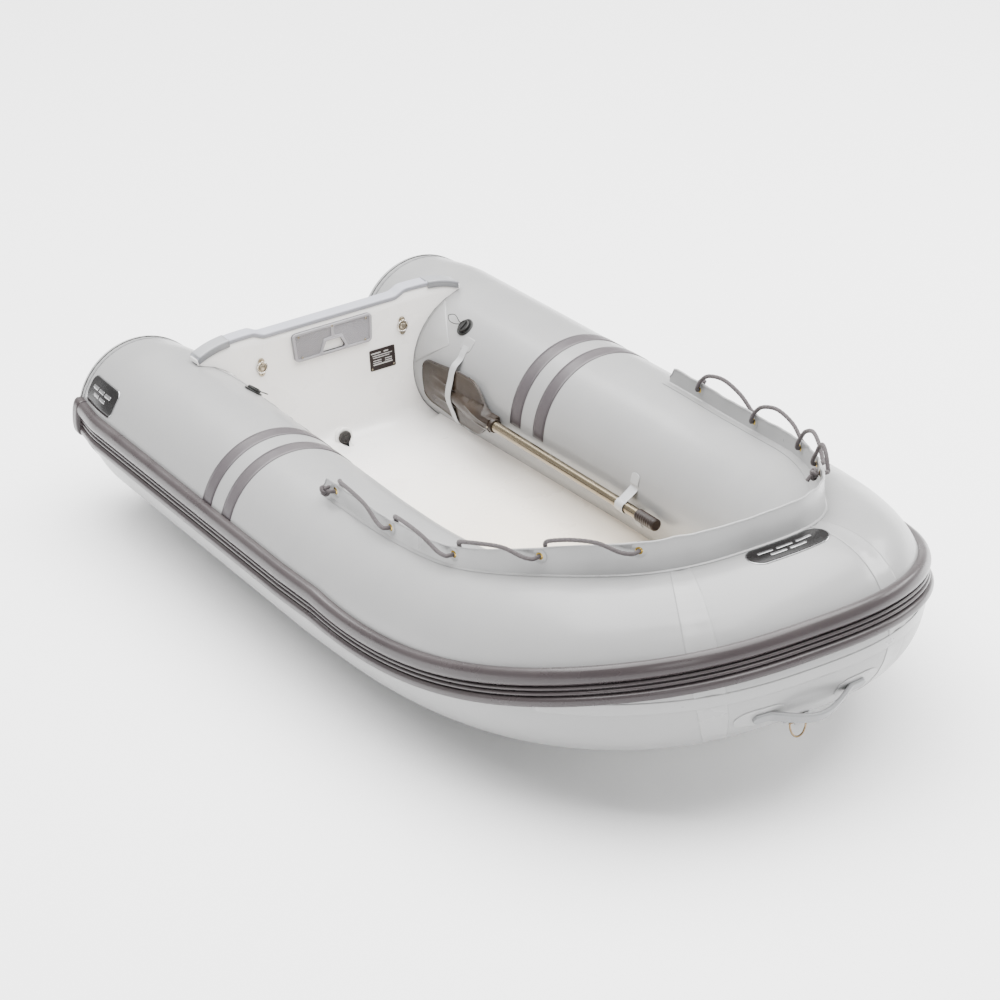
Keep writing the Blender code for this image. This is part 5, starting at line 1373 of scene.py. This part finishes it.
def moulding(name, outlines, thickness, edge, place, body="boat"):
    """A plate from outlines, the later ones being windows, with its edges rounded. Its back is at place."""
    curve = bpy.data.curves.new(name, "CURVE")
    curve.dimensions = "2D"
    curve.fill_mode = "BOTH"
    curve.extrude = 0.5 * thickness - edge
    curve.bevel_depth = edge
    curve.bevel_resolution = 3
    curve.offset = -edge
    for outline in outlines:
        spline = curve.splines.new("POLY")
        spline.points.add(len(outline) - 1)
        for slot, point in zip(spline.points, outline):
            slot.co = (point[0], point[1], 0.0, 1.0)
        spline.use_cyclic_u = True
    source = bpy.data.objects.new(name, curve)
    bpy.context.scene.collection.objects.link(source)
    bpy.context.view_layer.update()
    mesh = bpy.data.meshes.new_from_object(source.evaluated_get(bpy.context.evaluated_depsgraph_get()))
    bpy.data.objects.remove(source)
    mesh.transform(place @ Matrix.Translation((0, 0, 0.5 * thickness)))
    mesh.name = name
    return new_object(name, mesh, body, 35.0)


def face_place(y, z, proud=0.0003):
    return place_at((STERN_X + TRANSOM_FACE + proud, y, z), (1, 0, 0))


def screw(name, place, radius=0.0035, body="boat", material=None):
    """A raised-head screw; its cross slot is two black bars on the head, painted shade for the recess."""
    head = [(radius, -0.0004), (radius, 0.0003), (0.85 * radius, 0.0010), (0.5 * radius, 0.0014),
            (0, 0.0015)]
    piece = lathe(name, head, place, body, 28)
    dress(piece, material or SATIN_STEEL, slot="stainless")
    # Painted shade: the slot's dark recess is drawn as two thin black bars standing on the head.
    for turn in (0.5, 0.5 + 0.5 * math.pi):
        spot = place @ Matrix.Translation((0, 0, 0.0011)) @ Matrix.Rotation(turn, 4, "Z")
        slot = rounded_bar(f"{name}_slot_{int(turn > 1)}", spot, (1.15 * radius, 0.18 * radius, 0.0005),
                           body)
        dress(slot, BLACK_RUBBER, slot="black_rubber")


def quad(low, high, bottom, top):
    return [(-0.5 * bottom, low), (0.5 * bottom, low), (0.5 * top, high), (-0.5 * top, high)]


def pad_half(sign):
    """One recessed field of the pad, beside the window."""
    return [(sign * 0.0440, -0.0345), (sign * 0.1115, -0.0345), (sign * 0.1160, 0.0345),
            (sign * 0.0050, 0.0345),
            (sign * 0.0050, 0.0070), (sign * 0.0290, 0.0050)]


def inside(point, outline):
    hit = False
    for (ax, ay), (bx, by) in zip(outline, outline[1:] + outline[:1]):
        if (ay > point[1]) != (by > point[1]) and point[0] < ax + (bx - ax) * (point[1] - ay) / (by - ay):
            hit = not hit
    return hit


def hatch_lines(outline, pitch, lean):
    """Diagonal segments across an outline, as pairs of points."""
    direction = Vector((math.cos(lean), math.sin(lean)))
    across = Vector((-direction.y, direction.x))
    segments = []
    for k in np.arange(-0.13, 0.13, pitch):
        run = [across * k + direction * t for t in np.arange(-0.16, 0.16, 0.0006)]
        inner = [point for point in run if inside(point, outline)]
        if len(inner) > 6:
            groups = [[inner[0]]]
            for a, b in zip(inner, inner[1:]):
                if (b - a).length > 0.001:
                    groups.append([])
                groups[-1].append(b)
            segments += [(group[0], group[-1]) for group in groups if len(group) > 4]
    return segments


print("mouldings ready")

# %% Motor pad
def make_motor_pad():
    place = face_place(0.0, 0.452)
    outer = rounded_outline(quad(-0.042, 0.042, 0.238, 0.250), 0.013)
    window = rounded_outline(quad(-0.0340, -0.0030, 0.076, 0.044), 0.006)
    base = moulding("pad_base", [outer, window], 0.0062, 0.0012, place)
    dress(base, PAD_GREY, "motor_pad")
    fields = [rounded_outline(pad_half(sign)[:: int(sign)], 0.004) for sign in (-1, 1)]
    rim = moulding("pad_rim", [outer, window, *fields], 0.0100, 0.0016, place)
    dress(rim, PAD_GREY, slot="pad_plastic")
    u_outer = rounded_outline(quad(-0.0385, 0.0015, 0.090, 0.056), 0.008)
    u_rim = moulding("pad_window_rim", [u_outer, window], 0.0112, 0.0012, place)
    dress(u_rim, PAD_GREY, slot="pad_plastic")
    sheet = moulding("pad_window_floor", [rounded_outline(quad(-0.0335, -0.0035, 0.075, 0.043), 0.006)],
                     0.0012, 0.0003, place)
    dress(sheet, LINER_WHITE, slot="liner_gelcoat")
    points, faces = [], []
    for sign in (-1, 1):
        for a, b in hatch_lines(pad_half(sign), 0.0042, math.radians(45 * sign)):
            along = (b - a).normalized()
            across = Vector((-along.y, along.x)) * 0.0010
            first = len(points)
            for end in (a, b):
                for offset, high in ((-1.0, 0.0060), (-0.45, 0.0078), (0.45, 0.0078), (1.0, 0.0060)):
                    points.append((end.x + across.x * offset, end.y + across.y * offset, high))
            faces += [(first + j, first + j + 1, first + j + 5, first + j + 4) for j in range(3)]
            faces += [(first + 3, first, first + 4, first + 7)]
            faces += [(first, first + 1, first + 2, first + 3),
                      (first + 7, first + 6, first + 5, first + 4)]
    mesh = bpy.data.meshes.new("pad_ribs")
    mesh.from_pydata(points, [], faces)
    face_outward(mesh)
    mesh.transform(place)
    dress(new_object("pad_ribs", mesh, smooth=20.0), PAD_GREY, slot="pad_plastic")
    for number, (y, z) in enumerate(((-0.105, 0.0305), (0.105, 0.0305), (0.0, 0.0365), (-0.098, -0.0310),
                                     (0.098, -0.0310))):
        screw(f"pad_screw_{number}", place @ Matrix.Translation((y, z, 0.0100)), 0.0036)


make_motor_pad()
print("motor pad with its ribs")


# %% Builder's plate and pad-eyes
def make_plate():
    place = face_place(0.151, 0.346)
    width, height = 0.080, 0.062
    sheet = moulding("plate", [rounded_outline(quad(-0.5 * height, 0.5 * height, width, width), 0.004)],
                     0.0012, 0.0003, place)
    dress(sheet, PLATE_BROWN, "builder_plate")
    rows = [(0.020, ((-0.020, 0.030), (0.012, 0.014))), (0.0125, ((0.0, 0.062),)),
            (0.0065, ((-0.004, 0.052),)),
            (-0.002, ((-0.017, 0.026), (0.018, 0.022))), (-0.008, ((-0.017, 0.026), (0.018, 0.022))),
            (-0.014, ((0.0, 0.060),))]
    for row, (up, bars) in enumerate(rows):
        for column, (middle, wide) in enumerate(bars):
            spot = place @ Matrix.Translation((middle, up, 0.0012))
            tall = 0.0036 if row in (0, 5) else 0.0022
            bar = rounded_bar(f"plate_print_{row}_{column}", spot, (wide, tall, 0.00025), bevel=0.3)
            dress(bar, PRINT_WHITE, slot="badge_black")
    for number, y in enumerate((-0.034, 0.034)):
        screw(f"plate_screw_{number}", place @ Matrix.Translation((y, -0.025, 0.0012)), 0.0028)


def make_pad_eye(side):
    place = face_place(SIDES[side] * 0.220, 0.425)
    turns = np.linspace(0, 2 * np.pi, 96, endpoint=False)
    lobes = 0.0155 + 0.0115 * np.clip(np.abs(np.sin(turns)) - 0.80, 0, 1) / 0.20
    outline = [(r * math.cos(t), r * math.sin(t)) for r, t in zip(lobes, turns)]
    dress(moulding(f"eye_base_{side}", [outline], 0.0026, 0.0008, place), SATIN_STEEL,
          f"pad_eye_base_{side}")
    boss = [(0.0098, 0.0020), (0.0096, 0.0040), (0.0084, 0.0056), (0.0060, 0.0070), (0.0030, 0.0075),
            (0.0, 0.0076)]
    dress(lathe(f"eye_boss_{side}", boss, place, segments=48), SATIN_STEEL, slot="stainless")
    lift = 0.0025 + 0.0004 + 0.0020
    pivot = place @ Vector((0.0, 0.0150, lift))
    keeper = [(0.0030, -0.0040), (0.0048, -0.0034), (0.0052, 0.0), (0.0048, 0.0034), (0.0030, 0.0040)]
    dress(lathe(f"eye_keeper_{side}", keeper, place_at(pivot, (0, 1, 0)), segments=36, closed=True),
          SATIN_STEEL,
          slot="stainless")
    for number, up in enumerate((-0.0215, 0.0225)):
        screw(f"eye_screw_{side}_{number}", place @ Matrix.Translation((0, up, 0.0026)), 0.0030)
    turns = np.linspace(0, 2 * np.pi, 72, endpoint=False)
    ring = np.array([place @ Vector((0.0150 * math.sin(t), 0.0150 * math.cos(t), lift)) for t in turns])
    wire = sweep(f"eye_ring_{side}", ring, 0.0020, f"pad_eye_ring_{side}", 16, (1, 0, 0), True)
    dress(wire, STAINLESS, f"pad_eye_ring_{side}")


make_plate()
for side in SIDES:
    make_pad_eye(side)
print("transom fittings screwed on")

# %% [markdown]
# ## Drain
# Rain water leaves through a tube in the transom, closed from inside by a black plug with a rim to pull.

# %% Drain socket and plug
def make_drain():
    place = drain_place()
    socket = [(0.0151, -0.045), (0.0205, -0.045), (0.0205, 0.0140), (0.0225, 0.0170), (0.0262, 0.0188),
              (0.0272, 0.0206),
              (0.0268, 0.0228), (0.0250, 0.0243), (0.0215, 0.0247), (0.0151, 0.0245)]
    dress(lathe("drain_ring", socket, place, segments=72, closed=True), LINER_WHITE, "drain_socket")
    face = 0.0248
    plug = [(0.0, -0.006), (0.0138, -0.006), (0.0146, 0.0), (0.0146, face), (0.0182, face + 0.0002),
            (0.0189, face + 0.0012),
            (0.0189, face + 0.0046), (0.0180, face + 0.0060), (0.0164, face + 0.0064),
            (0.0148, face + 0.0058),
            (0.0140, face + 0.0032), (0.0060, face + 0.0028), (0.0, face + 0.0028)]
    lid = lathe("drain_lid", plug, place, "drain_plug", 120)
    dress(flute(lid, place, 30, 0.0003, 0.0180), BLACK_RUBBER, "drain_plug")
    for number, turn in enumerate((0.3, 0.3 + 0.5 * math.pi)):
        spot = place @ Matrix.Translation((0, 0, face + 0.0024)) @ Matrix.Rotation(turn, 4, "Z")
        dress(rounded_bar(f"drain_web_{number}", spot, (0.0262, 0.0030, 0.0030), "drain_plug"),
              BLACK_RUBBER,
              slot="black_rubber")


make_drain()
print("drain made")

# %% [markdown]
# ## Oars
# Each oar is stowed against the inner side of its tube, blade aft. The blade is a spoon moulded in brown
# plastic: its section runs from a thin curved sheet at the tip to a round socket at the neck, with three
# ribs that carry the load into the shaft. The shaft is anodised tube and the grip is moulded.

# %% Blades, shafts and grips
OAR_TIP = 0.367
BLADE_LENGTH = 0.385
BLADE_SET = 0.012
SOCKET_RADIUS = 0.0185
SHAFT_RADIUS = 0.0145
OAR_LENGTH = 1.173
GRIP_LENGTH = 0.080


def oar_line(side):
    ends = []
    for x, clear in ((OAR_TIP + 0.10, 0.0215), (OAR_TIP + OAR_LENGTH + 0.10, 0.0205)):
        ends.append(Vector((x, SIDES[side] * (half_beam(x) - TUBE_RADIUS - clear), TUBE_HEIGHT)))
    return ends


def oar_place(side):
    near, far = oar_line(side)
    along = (far - near).normalized()
    tip = near + along * ((OAR_TIP - near.x) / along.x)
    return place_at(tip + Vector(ROW_X), along)


def blade_half_width(share):
    tip = 0.80 + 0.20 * blend_step(share, 0.0, 0.55)
    round_end = np.sqrt(np.clip(1 - (1 - np.minimum(share / 0.10, 1.0)) ** 2, 0, 1)) * 0.40 + 0.60
    neck = 1 - blend_step(share, 0.62, 1.0) ** 1.3
    return np.maximum(0.078 * tip * round_end * neck, SOCKET_RADIUS)


def make_blade(side, place):
    """Closed rings from tip to neck; the face inboard carries the spine and its ribs."""
    inboard = -SIDES[side]
    share = np.concatenate([np.linspace(0, 0.12, 16), np.linspace(0.12, 1.0, 60)[1:]])[:, None]
    across = np.sin(np.linspace(-0.5 * np.pi, 0.5 * np.pi, 49))[None, :]
    v = across * blade_half_width(share)
    spine = 0.004 + (SOCKET_RADIUS - 0.004) * blend_step(share, 0.1, 0.92)
    rise = (BLADE_SET + SOCKET_RADIUS) * blend_step(share, 0.05, 0.92) ** 1.2
    sheet = -BLADE_SET - v * v / 0.5
    ridge = rise * np.sqrt(np.clip(1 - (v / (1.25 * spine + 0.006)) ** 2, 0, 1))
    ribs = np.zeros(v.shape)
    for offset in (-0.030, 0.030):
        centre = offset * (1 - 0.72 * blend_step(share, 0.15, 0.98))
        ribs += (0.0032 * np.exp(-(((v - centre) / 0.0030) ** 2)) * blend_step(share, 0.10, 0.30)
                 * (1 - blend_step(share, 0.93, 1.0)))
    lip = 0.0018 * np.exp(-(((1 - np.abs(across)) * 16) ** 2)) * (1 - blend_step(share, 0.8, 0.95))
    front = sheet + 0.0020 + ridge + ribs + lip
    back = sheet - 0.0020 - 0.25 * ridge * blend_step(share, 0.7, 1.0)
    n = np.concatenate([front, back[:, ::-1]], 1) * inboard
    v = np.concatenate([v, v[:, ::-1]], 1)
    local = np.stack([n, v, np.broadcast_to(share * BLADE_LENGTH, n.shape)], -1)
    matrix = np.array(place)
    points = local @ matrix[:3, :3].T + matrix[:3, 3]
    mesh = grid_mesh("blade", points, wrap=True, caps=True, flip=side == "port")
    blade = new_object(f"blade_{side}", mesh, f"oar_{side}", 55.0)
    dress(blade, BLADE_BRONZE, f"oar_blade_{side}")
    half_tip = float(blade_half_width(0.0))
    run = np.concatenate([np.linspace(0.60, 0.12, 24), np.linspace(0.12, 0.0, 16)[1:]])
    half = blade_half_width(run)
    low = np.stack([(-BLADE_SET - half**2 / 0.5) * inboard, -half, run * BLADE_LENGTH], 1)
    across = np.linspace(-half_tip, half_tip, 14)[1:-1]
    end = np.stack([(-BLADE_SET - across**2 / 0.5) * inboard, across, 0 * across - 0.0004], 1)
    high = (low * (1, -1, 1))[::-1]
    rim = np.concatenate([low, end, high]) @ matrix[:3, :3].T + matrix[:3, 3]
    edge = sweep(f"blade_rim_{side}", smooth_curve(rim, 0.003), 0.0026, f"oar_{side}", 10)
    dress(edge, BLACK_RUBBER, slot="oar_plastic")


def bronze_plastic():
    finish = Finish("blade_bronze", (0.026, 0.0150, 0.0075), 0.35, Specular_IOR_Level=0.3)
    finish.vary((0.010, 0.0058, 0.0032), 7.0, (0.26, 0.44))
    finish.bump(finish.group(SCRATCHES, Scale=26.0, Stretch=14.0, Cover=0.45), 0.0002, 0.5)
    return finish.bump(finish.noise(420.0), 0.00010, 0.5).done()


BLADE_BRONZE = bronze_plastic()


print("blades are drawn with", BLADE_BRONZE.name)


# %% Whole oars
def make_oar(side):
    place, body = oar_place(side), f"oar_{side}"
    make_blade(side, place)
    neck = BLADE_LENGTH + 0.012
    socket = [(0.0165, BLADE_LENGTH - 0.040), (0.0192, BLADE_LENGTH - 0.022), (0.0192, neck - 0.004),
              (0.0180, neck),
              (SHAFT_RADIUS + 0.0003, neck), (SHAFT_RADIUS + 0.0003, neck - 0.02)]
    dress(lathe(f"blade_socket_{side}", socket, place, body, 64), BLADE_BRONZE, slot="oar_plastic")
    high = OAR_LENGTH - 0.004
    shaft = [(SHAFT_RADIUS, neck - 0.02), (SHAFT_RADIUS, high), (SHAFT_RADIUS - 0.0015, high)]
    dress(lathe(f"shaft_{side}", shaft, place, body, 72), SHAFT_METAL, f"oar_shaft_{side}")
    start = OAR_LENGTH - GRIP_LENGTH
    grip = [(SHAFT_RADIUS + 0.0002, start), (0.0160, start), (0.0170, start + 0.002),
            (0.0170, start + 0.006)]
    for i in range(6):
        low = start + 0.010 + 0.0095 * i
        grip += [(0.0158, low), (0.0169, low + 0.0024), (0.0169, low + 0.0058), (0.0158, low + 0.0082)]
    grip += [(0.0168, OAR_LENGTH - 0.007), (0.0164, OAR_LENGTH - 0.003), (0.0135, OAR_LENGTH),
             (0.0, OAR_LENGTH)]
    dress(lathe(f"grip_{side}", grip, place, body, 64, smooth=32.0), GRIP_BROWN, f"oar_grip_{side}")
    inboard = -SIDES[side]
    rivet = place @ Matrix.Translation((inboard * 0.0190, 0,
                                        neck - 0.014)) @ Matrix.Rotation(inboard * 0.5 * math.pi, 4, "Y")
    dress(lathe(f"oar_rivet_{side}", [(0.0036, 0.0), (0.0032, 0.0010), (0.0018, 0.0017), (0.0, 0.0019)],
                rivet, body, 28),
          SATIN_STEEL, slot="oar_metal")


for side in SIDES:
    make_oar(side)
print("oars", OAR_LENGTH, "m long")

# %% [markdown]
# ## Straps and clips
# A webbing strap over each blade and a wrapped fabric keeper round each shaft hold the oars. Webbing is
# drawn directly as a ribbon: a line of points, a width, and a thin section with rounded edges.

# %% Ribbons of webbing
def ribbon(name, points, width, thickness, outward, material, node=None, slot=None, step=0.004, ends=0.0):
    """A strap along points. outward is a direction, or one for each point, that its face looks to."""
    path = smooth_curve(points, step)
    forward = unit(np.gradient(path, axis=0))
    outward = np.asarray(outward, float)
    if outward.ndim == 2:
        run = np.linspace(0, 1, len(outward))
        outward = np.stack([np.interp(np.linspace(0, 1, len(path)), run,
                                      outward[:, k]) for k in range(3)], -1)
    lift = unit(outward - forward * np.sum(outward * forward, -1, keepdims=True))
    across = np.cross(forward, lift)
    count = len(path)
    taper = np.ones(count)
    if ends:
        run = run_lengths(path)
        near = np.minimum(run, run[-1] - run) / ends
        taper = np.sqrt(np.clip(1 - (1 - np.clip(near, 0, 1)) ** 2, 0.04, 1))
    wide, thick = 0.5 * width * taper, 0.5 * thickness
    section = []
    for t in np.linspace(-1, 1, 13):
        section.append((t, thick * (1 - 0.5 * max(0.0, abs(t) - 0.86) / 0.14)))
    for t in np.linspace(1, -1, 13):
        section.append((t, -thick * (1 - 0.5 * max(0.0, abs(t) - 0.86) / 0.14)))
    section = np.array(section)
    points = (path[:, None] + across[:, None] * (section[None, :, 0] * wide[:, None])[..., None]
              + lift[:, None] * section[None, :, 1][..., None])
    run = run_lengths(path)
    uv = np.stack(np.broadcast_arrays(run[:, None], section[None, :, 0] * 0.5 * width), -1)
    mesh = grid_mesh(name, points, uv, wrap=True, caps=True)
    face_outward(mesh)
    return dress(new_object(name, mesh, smooth=50.0), material, *([node] if node else []), slot=slot)


def make_blade_strap(side):
    s = on_side(0.5125, side)
    points, normals = [], []
    for angle in (140, 146, 150, 153, 157, 162, 168, 174, 180, 186, 192, 198, 203, 207, 210, 214, 218):
        away = abs(angle - 180)
        bump, spine = 1 - float(blend_step(away, 20.0, 31.0)), 1 - float(blend_step(away, 0.0, 14.0))
        points.append(tube_point(s, angle, 0.0012 + 0.0156 * bump + 0.0075 * spine))
        normals.append(tube_normal(s, angle))
    ribbon(f"strap_{side}", points, 0.026, 0.0017, normals, STRAP_GREY, f"blade_strap_{side}")
    for number, angle in enumerate((138.5, 219.0)):
        patch = rounded_patch(f"strap_patch_{side}_{number}", s, angle, 0.046, 0.040, 0.010, 0.0003,
                              0.0008)
        dress(patch, SEAM_GREY, slot="strap_fabric")


def make_shaft_clip(side):
    s = on_side(1.389, side)
    _, forward, outboard, up = route_frame(s)
    near, far = oar_line(side)
    x = float(route_point(np.asarray(s))[0])
    middle = near.lerp(far, (x - near.x) / (far.x - near.x))
    axis = np.array(middle) + ROW_X
    points, normals = [], []
    for angle in (158, 162, 166, 169.5):
        points.append(tube_point(s, angle, 0.0014))
        normals.append(tube_normal(s, angle))
    for turn in np.radians(np.linspace(84, -84, 13)):
        arm = -math.cos(turn) * outboard + math.sin(turn) * up
        points.append(axis + (SHAFT_RADIUS + 0.0021) * arm)
        normals.append(arm)
    for angle in (190.5, 194, 198, 202):
        points.append(tube_point(s, angle, 0.0014))
        normals.append(tube_normal(s, angle))
    ribbon(f"clip_{side}", points, 0.036, 0.0021, normals, STRAP_GREY, f"shaft_clip_{side}", step=0.002,
           ends=0.008)


for side in SIDES:
    make_blade_strap(side)
    make_shaft_clip(side)
print("straps and clips made")

# %% [markdown]
# ## Bow handle and towing ring
# Under the bow, a thick moulded handle stands off the tube between two oval pads, and a D-shaped ring
# hangs from a round patch with a loop of webbing. The ring is a bar swept round a closed path.

# %% Handle and ring
HANDLE_ANGLE = -30.0
TOW_ANGLE = -56.0


def make_handle():
    span, foot = 0.190, 0.030
    total = span + 2 * foot
    points, normals = [], []
    for along in np.linspace(-0.5 * total, 0.5 * total, 33):
        share = min(max((along + 0.5 * span) / span, 0.0), 1.0)
        rise = 0.042 * math.sin(math.pi * share) ** 1.1
        points.append(tube_point(BOW + along, HANDLE_ANGLE, 0.0045 + rise))
        normals.append(tube_normal(BOW + along, HANDLE_ANGLE))
    ribbon("handle", points, 0.030, 0.0110, normals, HANDLE_GREY, "bow_handle", ends=0.014)
    for number, along in enumerate((-0.108, 0.108)):
        pad = rounded_patch(f"handle_pad_{number}", BOW + along, HANDLE_ANGLE, 0.096, 0.066, 0.032,
                            0.0004, 0.0011)
        dress(pad, SEAM_GREY, slot="strap_fabric")


def make_tow_ring():
    place = place_at(tube_point(BOW, TOW_ANGLE), tube_normal(BOW, TOW_ANGLE), (0, 1, 0))
    disc = [(0.0, 0.0015), (0.0340, 0.0015), (0.0345, 0.0040), (0.0335, 0.0062), (0.0290, 0.0076),
            (0.0, 0.0078)]
    dress(lathe("tow_disc", disc, place, segments=72), BOOT_GREY, "tow_patch")
    bore = 0.0025 + 0.0004 + 0.0004
    pivot = place @ Vector((0.0, 0.0, 0.0080 + bore + 0.0004))
    loop = [(bore, -0.0110), (bore + 0.0026, -0.0110), (bore + 0.0026, 0.0110), (bore, 0.0110)]
    dress(lathe("tow_loop", loop, place_at(pivot, (0, 1, 0)), segments=48, closed=True), STRAP_GREY,
          slot="strap_fabric")
    wide = 0.023
    ring = [Vector((0.0, wide * (1 - 2 * i / 10), 0.0)) for i in range(11)]
    ring += [Vector((0.0, wide * math.cos(t), -0.006 + 0.036 * math.sin(t)))
             for t in np.linspace(math.pi, 2 * math.pi, 41)]
    path = np.array([pivot + point for point in ring])
    smooth = smooth_curve(np.concatenate([path, path[:1]]), 0.002)[:-1]
    wire = sweep("tow_wire", smooth, 0.0025, "tow_ring", 18, (1, 0, 0), True)
    dress(wire, RING_STEEL, "tow_ring")


make_handle()
make_tow_ring()
print("bow fittings made")
